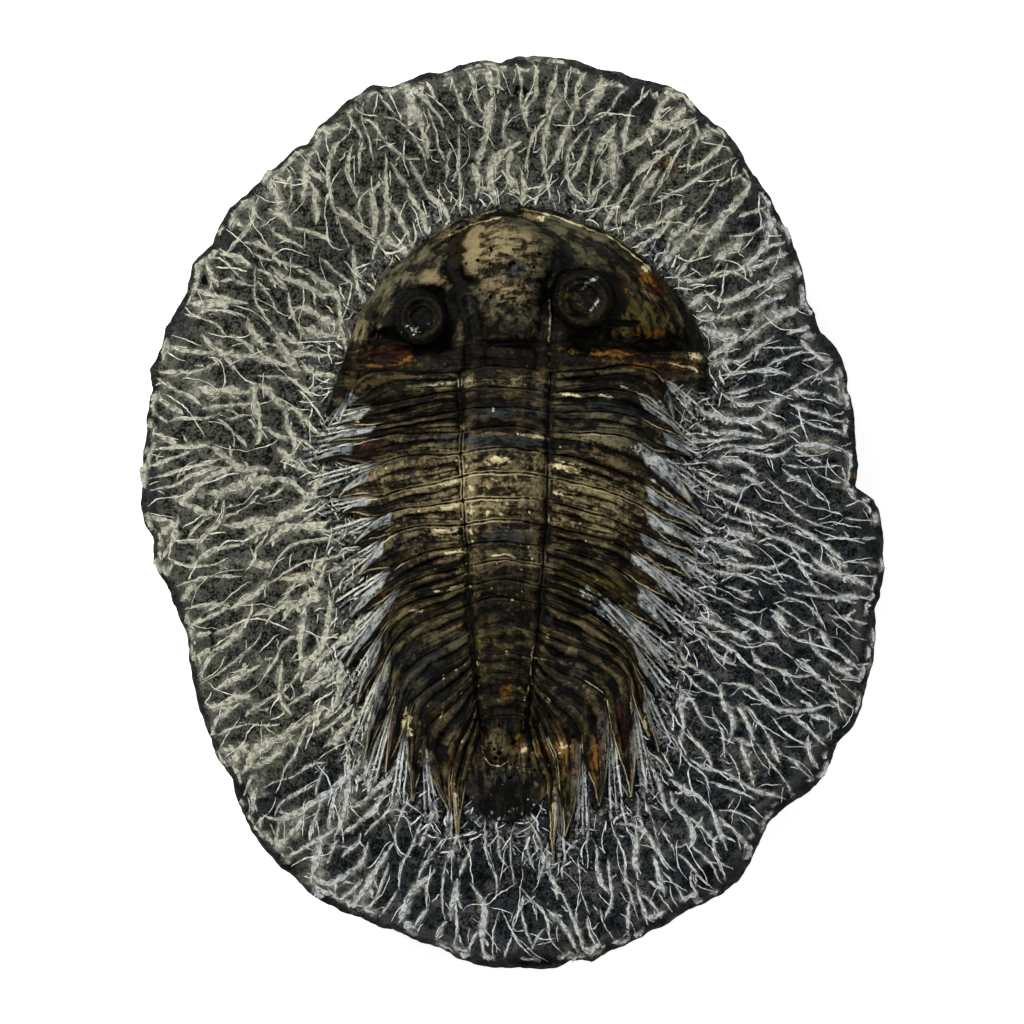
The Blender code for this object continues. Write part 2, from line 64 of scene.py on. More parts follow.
class Ink(Enum):
    """What a chart marks; the value names the attribute that a material reads."""

    STROKE = "stroke"
    DUST = "dust"
    SLATE = "slate"
    OLIVE = "olive"
    TAN = "tan"
    CREAM = "cream"
    AMBER = "amber"
    RUST = "rust"
    INKY = "inky"
    PIT = "pit"
    SHADE = "shade"


STROKE, DUST, SLATE, OLIVE, TAN, CREAM, AMBER, RUST, INKY, PIT, SHADE = Ink
Array = np.ndarray
Values = np.ndarray | float


def spot(px: float, py: float) -> complex:
    """The place on the slab that a pixel of the photograph shows."""
    return complex((px - PHOTO_MIDDLE[0]) * PIXEL, (PHOTO_MIDDLE[1] - py) * PIXEL)


def unit(z: complex) -> complex:
    """The direction of z with length 1; works on arrays too."""
    return z / np.maximum(abs(z), 1e-9)


def along(keys: tuple, x: Values) -> Values:
    """The value at x on the line through (position, value) keys.

    Args:
        keys: pairs of position and value, in any order.
        x: a position or an array of them.

    Returns:
        The value or array of values.
    """
    keys = sorted(keys)
    return np.interp(x, [k[0] for k in keys], [k[1] for k in keys])


def soft_step(low: float, high: float, x: Values) -> Values:
    """0 below low and 1 above high, with a soft rise between."""
    t = np.clip((x - low) / (high - low), 0.0, 1.0)
    return t * t * (3.0 - 2.0 * t)


def ridge(x: Values, centre: Values, width: float) -> Values:
    """1 at the centre, falling off over the width on both sides."""
    return np.exp(-(((x - centre) / width) ** 2))


def bezier(p0: complex, p1: complex, p2: complex, p3: complex, t: Array) -> Array:
    """Points on a cubic curve from p0 to p3."""
    s = 1.0 - t
    return p0 * s**3 + p1 * 3.0 * s * s * t + p2 * 3.0 * s * t * t + p3 * t**3


def lattice(ix: Array, iy: Array, seed: int) -> Array:
    """Fixed pseudo-random values from 0 to 1 on whole-number places.

    Args:
        ix: first coordinates.
        iy: second coordinates.
        seed: picks one of many such patterns.

    Returns:
        One value for each place.
    """
    n = ix.astype(np.int64) * 374761393 + iy.astype(np.int64) * 668265263 + seed * 974711
    n = n.astype(np.uint32)
    with np.errstate(over="ignore"):  # the product wraps round on purpose
        n = (n ^ (n >> np.uint32(13))) * np.uint32(1274126177)
    n = n ^ (n >> np.uint32(16))
    return (n & np.uint32(0xFFFFFF)) / float(0xFFFFFF)


def rough(x: Array, y: Array, size: float, seed: int, octaves: int = 4) -> Array:
    """Fractal roughness between about -1 and 1.

    Args:
        x: first coordinates in mm.
        y: second coordinates in mm.
        size: what the largest lumps measure.
        seed: picks the pattern.
        octaves: how many times finer lumps of half the size are added.

    Returns:
        One value for each place.
    """
    total = 0.0
    for octave in range(octaves):
        turn = np.exp(1j * (0.7 + 1.9 * octave)) / size * 2.0**octave
        place = (x + 1j * y) * turn
        u, v = place.real + 31.7, place.imag - 17.3
        iu, iv = np.floor(u), np.floor(v)
        fu, fv = soft_step(0.0, 1.0, u - iu), soft_step(0.0, 1.0, v - iv)
        here = seed * 7 + octave
        low = lattice(iu, iv, here) * (1.0 - fu) + lattice(iu + 1, iv, here) * fu
        high = lattice(iu, iv + 1, here) * (1.0 - fu) + lattice(iu + 1, iv + 1, here) * fu
        total = total + (low * (1.0 - fv) + high * fv - 0.5) * 2.0 * 0.5**octave
    return total / 1.3


# Kinds of nodes, and settings that many of them share.
NOISE, MATH, VECTOR, RANGE, MIX, READ = (
    "ShaderNode" + kind for kind in ("TexNoise", "Math", "VectorMath", "MapRange", "Mix", "Attribute")
)
SMOOTH, UNBOUND = {"interpolation_type": "SMOOTHSTEP"}, {"clamp": False}
COLOUR, FLOAT = {"data_type": "RGBA"}, {"data_type": "FLOAT"}
SUM, PRODUCT = {"operation": "ADD"}, {"operation": "MULTIPLY"}


def add(tree: NodeTree, kind: str, settings: dict, inputs: dict) -> Node:
    """Adds one node with its settings, and links or sets its inputs.

    Args:
        tree: a material's or a modifier's tree.
        kind: the node's type.
        settings: values of the node's own properties.
        inputs: for each input, by its name or place, a value, an output socket, or a node whose
            first output in use is meant.

    Returns:
        The new node.
    """
    node = tree.nodes.new(kind)
    for name, value in settings.items():
        setattr(node, name, value)
    for key, value in inputs.items():
        if isinstance(value, Node):
            value = next(output for output in value.outputs if output.enabled)
        if isinstance(value, NodeSocket):
            tree.links.new(value, node.inputs[key])
        else:
            node.inputs[key].default_value = value
    return node


def linear(shade: str) -> tuple:
    """The linear colour of an sRGB hex value such as "8a7443"."""
    parts = [int(shade[i : i + 2], 16) / 255.0 for i in (0, 2, 4)]
    return (*((p / 12.92 if p <= 0.04045 else ((p + 0.055) / 1.055) ** 2.4) for p in parts), 1.0)


@dataclass
class Chart:
    """A map of the slab seen from above that holds one layer of levels for each ink.

    A mark is at level 1 in its middle and 0.5 at its edge, and fades to nothing as far out again.
    """

    half: tuple = (43.0, 53.0)
    cell: float = 0.08
    layers: dict = field(default_factory=dict)

    def layer(self, ink: Ink) -> Array:
        """The levels of one ink, made when first asked for."""
        if ink not in self.layers:
            shape = (int(2 * self.half[1] / self.cell), int(2 * self.half[0] / self.cell))
            self.layers[ink] = np.zeros(shape, dtype=np.float32)
        return self.layers[ink]

    def window(self, low: complex, high: complex) -> tuple:
        """The part of the chart between two corners.

        Args:
            low: lower left corner.
            high: upper right corner.

        Returns:
            The slices of rows and columns, and the coordinates of the cells.
        """
        rows, columns = (int(2 * h / self.cell) for h in (self.half[1], self.half[0]))
        j0, j1 = (int((v + self.half[0]) / self.cell) for v in (low.real, high.real))
        i0, i1 = (int((v + self.half[1]) / self.cell) for v in (low.imag, high.imag))
        i0, i1 = max(i0, 0), min(max(i1 + 1, 0), rows)
        j0, j1 = max(j0, 0), min(max(j1 + 1, 0), columns)
        x = (np.arange(j0, j1) + 0.5) * self.cell - self.half[0]
        y = (np.arange(i0, i1) + 0.5) * self.cell - self.half[1]
        return slice(i0, i1), slice(j0, j1), x[None, :], y[:, None]

    def line(self, ink: Ink, points: Array, widths: Array, level: float = 1.0) -> None:
        """Draws a stroke through points.

        Args:
            ink: what it marks.
            points: places along its middle.
            widths: half its width at each point.
            level: how strong it is.
        """
        layer = self.layer(ink)
        for a, b, wa, wb in zip(points, points[1:], widths, widths[1:]):
            pad = 2.0 * max(wa, wb) + self.cell
            low = complex(min(a.real, b.real) - pad, min(a.imag, b.imag) - pad)
            high = complex(max(a.real, b.real) + pad, max(a.imag, b.imag) + pad)
            rows, columns, x, y = self.window(low, high)
            if rows.start >= rows.stop or columns.start >= columns.stop:
                continue
            run = b - a
            away = x + 1j * y - a
            share = np.clip((away * run.conjugate()).real / max(abs(run) ** 2, 1e-9), 0.0, 1.0)
            value = level * (1.0 - 0.5 * abs(away - share * run) / (wa + (wb - wa) * share))
            view = layer[rows, columns]
            np.maximum(view, value, out=view, casting="unsafe")

    def blot(self, ink: Ink, place: complex, size: tuple, turn: float = 0.0,
             level: float = 1.0, ragged: float = 0.45, seed: int = 1) -> None:
        """Draws a ragged oval.

        Args:
            ink: what it marks.
            place: its middle.
            size: half its length and half its width.
            turn: how far its length is turned from the right, in degrees.
            level: how strong it is.
            ragged: how far its outline strays, as a share of its size.
            seed: picks the outline.
        """
        reach = complex(1.0, 1.0) * 2.4 * max(size)
        rows, columns, x, y = self.window(place - reach, place + reach)
        off = (x + 1j * y - place) * np.exp(-1j * math.radians(turn))
        far = np.hypot(off.real / size[0], off.imag / size[1])
        lumps = min(max(min(size) * 1.1, 0.5), 6.0)
        far = far + ragged * rough(x + 0.0 * y, y + 0.0 * x, lumps, seed, 5)
        view = self.layer(ink)[rows, columns]
        np.maximum(view, level * (1.0 - 0.5 * far), out=view, casting="unsafe")

    def at(self, ink: Ink, x: Array, y: Array) -> Array:
        """The levels of one ink at places, blended between the cells.

        Args:
            ink: which layer.
            x: first coordinates.
            y: second coordinates.

        Returns:
            One level for each place.
        """
        layer = self.layer(ink)
        u = np.clip((x + self.half[0]) / self.cell - 0.5, 0, layer.shape[1] - 1.001)
        v = np.clip((y + self.half[1]) / self.cell - 0.5, 0, layer.shape[0] - 1.001)
        j, i = u.astype(int), v.astype(int)
        fu, fv = u - j, v - i
        low = layer[i, j] * (1 - fu) + layer[i, j + 1] * fu
        high = layer[i + 1, j] * (1 - fu) + layer[i + 1, j + 1] * fu
        return low * (1 - fv) + high * fv


@dataclass(frozen=True)
class Flank:
    """One side of the animal: its way out, the tips of its spines and where they part."""

    out: int
    tips: tuple
    forks: tuple


LEFT = Flank(
    out=-1,
    tips=(
        -20.7+10.6j, -18.3+11.8j, -19.4+9.7j, -20.7+7.8j, -21.9+5.8j, -19.5+1.6j, -19.1-0.1j, -17.4-3.7j,
        -17.3-7.1j, -18.2-11.9j, -18.5-17.5j, -17.4-21.5j, -16.6-27.6j, -14.1-29.2j, -11.1-32.4j,
        -7.2-33.3j, -6.3-36.0j,
    ),
    forks=(
        -18.1+13.6j, -14.3+12.0j, -15.4+9.7j, -15.6+8.3j, -13.4+5.9j, -14.1+1.9j, -14.3-0.3j, -13.5-2.6j,
        -12.5-5.7j, -13.3-9.1j, -13.6-12.2j, -13.8-15.9j, -12.9-20.0j, -11.6-22.7j, -9.8-25.9j,
        -6.7-29.6j, -5.3-31.5j,
    ),
)
RIGHT = Flank(
    out=1,
    tips=(
        21.6+14.1j, 18.0+10.2j, 19.3+8.0j, 20.0+6.2j, 20.8-0.1j, 20.9-2.5j, 20.9-5.0j, 20.1-7.7j,
        19.2-10.5j, 17.6-13.7j, 17.5-17.9j, 16.2-20.6j, 16.3-27.0j, 13.5-32.1j, 9.9-33.0j, 5.9-36.5j,
        4.6-38.0j,
    ),
    forks=(
        16.8+15.2j, 15.1+12.4j, 15.7+9.6j, 15.3+7.1j, 16.0+2.2j, 15.5-0.1j, 15.3-3.0j, 14.6-5.2j,
        13.5-7.7j, 11.6-10.4j, 12.9-13.7j, 13.6-17.1j, 13.3-19.8j, 10.9-22.5j, 7.9-26.2j, 5.1-29.2j,
        3.9-31.5j,
    ),
)


@dataclass
class Sheet:
    """A grid of surface points: places, heights, and the way the shell's grain runs.

    powder is how much of the preparer's dust a point holds, spine is 1 where it stands on a free
    spine, rim is how far from its ring's edges it is, and seam how far from a rib's thin furrows.
    """

    place: Array
    height: Array
    grain: Array
    powder: Values = 0.0
    spine: Values = 0.0
    rim: Values = 9.0
    seam: Values = 9.0

    def levels(self) -> dict:
        """What a material reads from each point, by the name of its attribute."""
        full = np.zeros(self.height.shape)
        return {name: getattr(self, name) + full for name in ("powder", "spine", "rim", "seam")}


def strained(place: Array) -> Array:
    """Places after the slight, uneven strain that the rock put on the whole animal."""
    x, y = np.real(place), np.imag(place)
    return place + 0.26 * (rough(x, y, 3.2, 81, 2) + 1j * rough(x, y, 3.2, 82, 2))


@dataclass(frozen=True)
class Body:
    """The plan and the heights of the animal, ring by ring and rib by rib."""

    axis_x: float = -0.8
    head_rear: float = 15.6
    lengths: tuple = (
        2.2, 2.2, 2.3, 2.4, 2.7, 2.7, 2.5, 2.4, 2.2, 2.2, 2.1, 2.9, 2.8, 2.7, 2.5, 2.2,
    )
    segments: int = 11
    ribs: int = 5
    axis_half_widths: tuple = ((15.6, 5.0), (0.0, 4.6), (-10.3, 3.9), (-23.4, 2.6))
    ring_bow: float = 0.5
    ring_node: float = 0.16  # height of the knob at each end of a ring
    rib_length: float = 15.0
    # How much powder the spines hold, by rib; it lies on their front halves, from a blunt inner end.
    powder_left: tuple = ((0, 0.9), (9, 0.85), (11, 0.6), (13, 0.1))
    powder_right: tuple = ((0, 0.85), (9, 0.95), (11, 0.7), (14, 0.1))
    powdered: tuple = (0.52, 0.74)
    powder_half: tuple = (0.44, 0.54)
    tip_top: float = 1.0
    pleura_tops: tuple = ((0, 6.3), (5, 6.4), (11, 5.4), (16, 3.4))
    ring_tops: tuple = ((0, 8.5), (5, 8.6), (11, 7.4), (14, 6.0), (16, 4.8))
    furrow_depth: float = 0.6
    fork: float = 0.62
    tip_half_width: float = 0.22
    hook: float = 0.35
    leaving: tuple = ((0, 3.0), (4, 8.0), (11, 20.0), (13, 42.0), (16, 78.0))

    def edge_y(self, edge: int) -> float:
        """Where on the axis the edge behind the given number of rings and ribs lies."""
        return self.head_rear - sum(self.lengths[:edge])

    def tip_corner(self, flank: Flank, rib: int, root: complex, side: int) -> tuple:
        """A corner of a spine's blunt tip.

        Args:
            flank: the side of the animal.
            rib: which rib, from 0 for the head shield's corner.
            root: where the spine comes from.
            side: 1 for the outer corner and -1 for the inner one.

        Returns:
            The corner and the direction in which the spine arrives.
        """
        tip = flank.tips[rib]
        arrive = unit(unit(tip - root) - self.hook * 1j)
        return tip + arrive * 1j * flank.out * side * self.tip_half_width, arrive

    def rib_edge(self, flank: Flank, edge: int, rib: int, u: Array) -> Array:
        """Points on an edge of a rib, from 0 at the axial furrow to 1 at the tip.

        Args:
            flank: the side of the animal.
            edge: which edge, counted from the head shield's rear edge.
            rib: the rib whose tip the edge runs to.
            u: shares of the way out.

        Returns:
            The places.
        """
        fork = flank.forks[edge]
        way = unit(sum(unit(tip - fork) for tip in flank.tips[edge : edge + 2]))
        y = self.edge_y(edge)
        start = complex(self.axis_x + flank.out * along(self.axis_half_widths, y), y)
        angle = math.radians(along(self.leaving, edge))
        leave = complex(flank.out * math.cos(angle), -math.sin(angle))
        reach = abs(fork - start)
        inner = bezier(start, start + leave * reach * 0.42, fork - way * reach * 0.32, fork,
                       np.minimum(u / self.fork, 1.0))
        end, arrive = self.tip_corner(flank, rib, fork, 1 if edge < rib else -1)
        reach = abs(end - fork)
        outer = bezier(fork, fork + way * reach * 0.38, end - arrive * reach * 0.3, end,
                       np.maximum((u - self.fork) / (1.0 - self.fork), 0.0))
        return np.where(u <= self.fork, inner, outer)

    def ring_edge(self, edge: int, t: Array) -> Array:
        """Points on the edge of an axial ring, from -1 at the left furrow to 1 at the right."""
        y = self.edge_y(edge)
        x = self.axis_x + t * along(self.axis_half_widths, y)
        return x + 1j * (y + self.ring_bow * (1.0 - t * t))

    def rib_top(self, place: float, u: Values) -> Values:
        """Height of a rib on its back, place counting ribs from the head shield."""
        crest = along(self.pleura_tops, place)
        groove = self.furrow_depth * ridge(u, 0.0, 0.035)
        return self.tip_top + (crest - self.tip_top) * (1.0 - u**2.3) - groove

    def rib_relief(self, u: Array, v: float) -> Array:
        """Relief across a rib: two bands with a slanting furrow between, and a keel on the spine."""
        arch = max(math.sin(math.pi * v), 0.0)
        bands = 0.75 * arch**0.6 - 0.5 - 0.55 * ridge(v, 0.4 + 0.2 * u, 0.13)
        keel = 0.7 * arch - 0.45
        share = soft_step(self.fork - 0.18, self.fork + 0.12, u)
        strength = soft_step(0.0, 0.1, u) * (1.0 - 0.25 * u)
        return strength * (bands + (keel - bands) * share)

    def ring_top(self, place: float, t: Values) -> Values:
        """Height of the axial lobe, arched between the two axial furrows."""
        side = along(self.pleura_tops, place) - self.furrow_depth
        return side + (along(self.ring_tops, place) - side) * (1.0 - abs(t) ** 2.4) ** 0.7

    def ring_relief(self, rib: int, v: float) -> float:
        """Relief along an axial ring: one band on a segment, two narrow ones on a tail rib."""
        if rib > self.segments:
            return -0.15 * (1.0 + math.cos(4.0 * math.pi * v))
        return 0.55 * math.sin(math.pi * (0.12 + 0.88 * v)) ** 0.7 - 0.55


BODY = Body()


def stations(along_rib: int, along_ring: int) -> tuple:
    """The columns of a plate's grid, from the left tip over the axis to the right tip.

    Args:
        along_rib: points from the axial furrow to a tip.
        along_ring: points across the axial ring.

    Returns:
        Where each column stands on its rib or ring, and whether it stands on the ring.
    """
    inner = np.linspace(0.0, BODY.fork, int(along_rib * BODY.fork) + 1)
    outer = np.linspace(BODY.fork, 1.0, int(along_rib * (1.0 - BODY.fork)) + 1)[1:]
    u = np.concatenate([inner, outer])
    t = np.linspace(-1.0, 1.0, along_ring)[1:-1]
    on_ring = np.concatenate([0 * u, 0 * t + 1, 0 * u]).astype(bool)
    return np.concatenate([u[::-1], t, u]), on_ring, len(u)


def whole_edge(edge: int, rib: int, columns: tuple) -> Array:
    """An edge of a segment from its left tip over the axis to its right tip."""
    at, on_ring, reach = columns
    left = BODY.rib_edge(LEFT, edge, rib, at[:reach])
    right = BODY.rib_edge(RIGHT, edge, rib, at[-reach:])
    return np.concatenate([left, BODY.ring_edge(edge, at[on_ring]), right])


def moved(line: Array, distance: float) -> Array:
    """A line from left to right moved ahead by the distance, or back where it is negative."""
    runs = unit(np.diff(line))
    runs = np.concatenate([runs[:1], runs, runs[-1:]])
    return line + 1j * unit(runs[:-1] + runs[1:]) * distance


def rib_sheet(rib: int, front: Array, back: Array, columns: tuple, rows: int) -> Sheet:
    """The grid of one segment or of one pair of tail ribs.

    Args:
        rib: which rib, counted from the head shield.
        front: its front edge.
        back: its rear edge.
        columns: what stations gives.
        rows: how many rows of points.

    Returns:
        The sheet.
    """
    at, on_ring, _ = columns
    length = np.cumsum(np.concatenate([[0.0], abs(np.diff(front))]))
    length -= length[len(length) // 2]
    span = along(BODY.axis_half_widths, BODY.edge_y(rib))
    off_furrow = np.where(on_ring, (1.0 - abs(at)) * span, abs(at) * BODY.rib_length)
    left = np.arange(len(at)) < len(at) // 2
    side = np.where(left, *(along(keys, rib) for keys in (BODY.powder_left, BODY.powder_right)))
    out = np.where(on_ring, 0.0, abs(at))
    spread = BODY.powdered[1] - BODY.powdered[0]
    blunt = BODY.powdered[0] + spread * lattice(np.where(left, 1.0, 2.0), np.full(len(at), rib), 5)
    u = abs(at)
    thin = (0.34 + 0.2 * u + 0.03 * np.sin(u * 11.0 + rib),
            0.72 - 0.06 * u + 0.04 * np.sin(u * 8.0 + 2 * rib))
    places, heights, grains, rims, powders, seams = [], [], [], [], [], []
    for v in np.linspace(0.0, 1.0, rows):
        count = rib - 1 + v
        lobe = BODY.ring_top(count, at) + BODY.ring_relief(rib, v) * (1.0 - abs(at) ** 3)
        lobe = lobe + BODY.ring_node * (ridge(abs(at), 0.8, 0.12) - ridge(abs(at), 0.56, 0.06))
        seam = np.minimum(abs(v - thin[0]), abs(v - thin[1])) * abs(back - front)
        seams.append(np.where(on_ring | (u < 0.02), 9.0, seam))
        blade = BODY.rib_top(count, u) + BODY.rib_relief(u, v) - 0.15 * ridge(seams[-1], 0.0, 0.12)
        places.append(front + (back - front) * v)
        heights.append(FLOOR + np.where(on_ring, lobe, blade))
        grains.append(length + 1j * (rib * 2.4 + v * 2.2))
        rims.append(np.minimum(off_furrow, min(v, 1.0 - v) * abs(back - front)))
        ahead = 1.0 - soft_step(*BODY.powder_half, v + 0.1 * np.sin(out * 9.0 + rib))
        powders.append(side * ahead * soft_step(0.0, 0.03, out - blunt - 0.1 * v))
    spine = soft_step(BODY.fork - 0.1, BODY.fork + 0.05, out)
    return Sheet(np.array(places), np.array(heights), np.array(grains), np.array(powders), spine,
                 np.array(rims), np.array(seams))


@dataclass(frozen=True)
class Eye:
    """One compound eye: a turret with a sunken top, and a brow round its front."""

    centre: complex
    radius: float
    top: float
    brow_gap: float

    def profile(self, far: Array) -> Array:
        """Height of the turret at a distance from its middle, far below the shield outside it."""
        wall = self.radius
        keys = (
            (0.0, self.top - 1.0),
            (wall - 1.5, self.top - 0.95),
            (wall - 1.25, self.top - 0.55),
            (wall - 0.95, self.top - 0.7),
            (wall - 0.55, self.top - 0.05),
            (wall - 0.25, self.top),
            (wall, self.top - 0.35),
            (wall + 0.5, self.top - 2.6),
            (wall + 0.6, -5.0),
        )
        return along(keys, far)


@dataclass(frozen=True)
class Head:
    """The head shield: glabella, cheeks, corner spines and both eyes."""

    centre: complex = 1.0 + 15.6j
    half_widths: tuple = (19.8, 20.9)
    length: float = 18.6
    roundness: float = 1.75
    fan: float = 16.0
    margin_end: float = 8.0
    edge_top: float = 1.0
    cheek: float = 6.6
    glabella_x: float = -0.3
    glabella_half_widths: tuple = (
        (15.6, 4.6), (19.0, 4.5), (22.5, 4.9), (27.0, 6.3), (30.0, 5.9), (32.0, 4.2), (33.2, 2.2),
    )
    glabella_tops: tuple = (
        (15.6, 8.3), (19.0, 8.5), (24.0, 9.5), (28.0, 9.7), (31.0, 8.0), (32.4, 5.4), (33.4, 2.4),
    )
    neck_furrow: float = 18.7
    side_furrows: tuple = (21.0, 23.0, 25.2)
    cheek_furrow: float = 19.0
    eyes: tuple = (Eye(-10.1 + 21.7j, 2.5, 8.2, 1.9), Eye(7.9 + 23.7j, 3.0, 8.6, 0.9))

    def half_width(self, x: Array) -> Array:
        """Half the shield's width on the side of x."""
        return np.where(x > self.centre.real, self.half_widths[1], self.half_widths[0])

    def margin(self, bearing: Array) -> Array:
        """Places on the rounded front margin, at bearings in degrees from the right."""
        across, ahead = np.cos(np.radians(bearing)), np.sin(np.radians(bearing))
        power = 2.0 / self.roundness
        half = np.where(across > 0.0, self.half_widths[1], self.half_widths[0])
        x = np.sign(across) * half * abs(across) ** power
        return self.centre + x + 1j * self.length * np.maximum(ahead, 0.0) ** power

    def front(self, flank: Flank, u: Array) -> Array:
        """Places on the front margin and on the outer edge of the corner spine."""
        span = 90.0 - self.fan - self.margin_end
        turn = self.fan + span * np.minimum(u / BODY.fork, 1.0)
        margin = self.margin(90.0 - flank.out * turn)
        root = complex(self.margin(90.0 - flank.out * (self.fan + span)))
        end = BODY.tip_corner(flank, 0, root, 1)[0]
        return margin + (end - margin) * np.maximum((u - BODY.fork) / (1.0 - BODY.fork), 0.0)

    def cheek_top(self, x: Array, y: Array) -> Array:
        """Height of a cheek: a dome with a raised border, its furrows and the brows.

        Args:
            x: first coordinates.
            y: second coordinates.

        Returns:
            The heights above the hollow's floor.
        """
        across = abs(x - self.centre.real) / self.half_width(x)
        ahead = np.maximum(y - self.centre.imag, 0.0) / self.length
        out = (across**self.roundness + ahead**self.roundness) ** (1.0 / self.roundness)
        out = np.minimum(out, 1.0)
        off_axis = abs(x - self.glabella_x)
        flanks = soft_step(5.0, 8.0, off_axis)
        top = self.edge_top + (self.cheek - self.edge_top) * (1.0 - out**3.2) ** 0.8
        top = top + flanks * (0.5 * ridge(out, 0.95, 0.03) - 0.6 * ridge(out, 0.885, 0.04))
        inside = flanks * (1.0 - soft_step(0.84, 0.94, out))
        top = top - 2.0 * inside * ridge(y, self.cheek_furrow, 1.3)
        beside = off_axis / along(self.glabella_half_widths, y)
        top = top - 0.55 * ridge(beside, 1.05, 0.12) * (1.0 - soft_step(30.5, 32.5, y))
        for eye in self.eyes:
            off = x + 1j * y - eye.centre
            bearing = np.degrees(np.angle(off))
            facing = soft_step(20.0, 60.0, bearing) * (1.0 - soft_step(150.0, 180.0, bearing))
            top = top + 1.2 * facing * ridge(abs(off), eye.radius + eye.brow_gap, 0.9)
        return top

    def glabella_top(self, x: Array, y: Array) -> Array:
        """Height of the glabella and neck ring with their furrows."""
        half = along(self.glabella_half_widths, y)
        share = np.minimum(abs(x - self.glabella_x) / half, 1.0)
        top = along(self.glabella_tops, y) * (1.0 - share**2.4) ** 0.55
        top = top - 0.9 * ridge(y, self.neck_furrow, 0.45)
        for furrow in self.side_furrows:
            top = top - 0.6 * ridge(y, furrow + 0.5 * share, 0.35) * soft_step(0.35, 0.8, share)
        return top

    def sheet(self, rows: int, columns: tuple) -> Sheet:
        """The grid of the whole shield.

        Args:
            rows: points from the front margin to the rear edge.
            columns: what stations gives.

        Returns:
            The sheet, with both eyes raised from it.
        """
        at, on_ring, reach = columns
        left, right = at[:reach], at[-reach:]
        front = np.concatenate(
            [self.front(LEFT, left), self.margin(90.0 - self.fan * at[on_ring]), self.front(RIGHT, right)]
        )
        back = moved(whole_edge(0, 0, columns), JOINT / 2)
        v = np.linspace(0.0, 1.0, rows)[:, None]
        places = front + (back - front) * v
        x, y = places.real, places.imag
        top = np.maximum(np.maximum(self.cheek_top(x, y), self.glabella_top(x, y)), self.edge_top)
        for eye in self.eyes:
            top = np.maximum(top, eye.profile(abs(places - eye.centre)))
        off = places - self.centre
        rings = np.angle(off) * 18.0 + 1j * abs(off)
        return Sheet(places, FLOOR + top, np.where(y < self.cheek_furrow, places, rings))


@dataclass(frozen=True)
class Tail:
    """The tail shield: ringed axis, five ribs a side and the flap behind the axis."""

    end_y: float = -34.8
    end_half_width: float = 2.6
    end_top: float = 1.6

    def flap(self, columns: tuple, rows: int) -> Sheet:
        """The grid of the flap, from the last ring to its blunt end.

        Args:
            columns: what stations gives.
            rows: points from the last fork to the blunt end.

        Returns:
            The sheet.
        """
        at, on_ring, reach = columns
        last = BODY.segments + BODY.ribs
        t = np.concatenate([[-1.0], at[on_ring], [1.0]])
        u = at[-reach:]
        u = u[u <= BODY.fork]
        left, right = (BODY.rib_edge(flank, last, last, u) for flank in (LEFT, RIGHT))
        places, heights = [], []
        for share, a, b in zip(u, left, right):
            side = BODY.rib_top(last, share) + BODY.rib_relief(np.array(share), 1.0)
            arch = (BODY.ring_top(last, t) - BODY.ring_top(last, 1.0)) * (1.0 - share) ** 2
            lift = BODY.ring_relief(last, 1.0) * (1.0 - abs(t) ** 3)
            places.append(a + (b - a) * (t + 1.0) / 2.0 if share > 0.0 else BODY.ring_edge(last, t))
            heights.append(FLOOR + side + arch + lift)
        parted, height = places[-1], heights[-1]
        end = BODY.axis_x + t * self.end_half_width + 1j * (self.end_y + 0.8 * t * t)
        for share in np.linspace(0.0, 1.0, rows)[1:]:
            places.append(parted + (end - parted) * share)
            heights.append(height + (FLOOR + self.end_top - height) * share)
        places = np.array(places)
        return Sheet(places, np.array(heights), places * np.exp(-0.5j * math.pi) + 40j)

    def sheets(self, rows: int, columns: tuple) -> list:
        """The grids of the five pairs of ribs and of the flap."""
        first = BODY.segments + 1
        front = moved(whole_edge(BODY.segments, first, columns), -JOINT / 2)
        made = []
        for rib in range(first, first + BODY.ribs):
            made.append(rib_sheet(rib, front, whole_edge(rib, rib, columns), columns, rows))
            front = whole_edge(rib, rib + 1, columns) if rib < BODY.segments + BODY.ribs else front
        return [*made, self.flap(columns, rows)]


def crest_of(height: Array, reach: int, wrap: bool = False) -> Array:
    """How far each point of a grid stands above the points around it.

    Args:
        height: rows of heights.
        reach: how many points off the surroundings lie.
        wrap: whether the rows are closed rings.

    Returns:
        The differences, in mm.
    """
    padded = np.pad(height, ((reach, reach), (0, 0)), mode="edge")
    padded = np.pad(padded, ((0, 0), (reach, reach)), mode="wrap" if wrap else "edge")
    rows, columns = height.shape
    total = 0.0
    for di, dj in ((0, 1), (0, 2), (1, 0), (1, 2), (2, 1), (0, 0), (2, 2), (2, 0)):
        total = total + padded[di * reach : di * reach + rows, dj * reach : dj * reach + columns]
    return height - total / 8.0


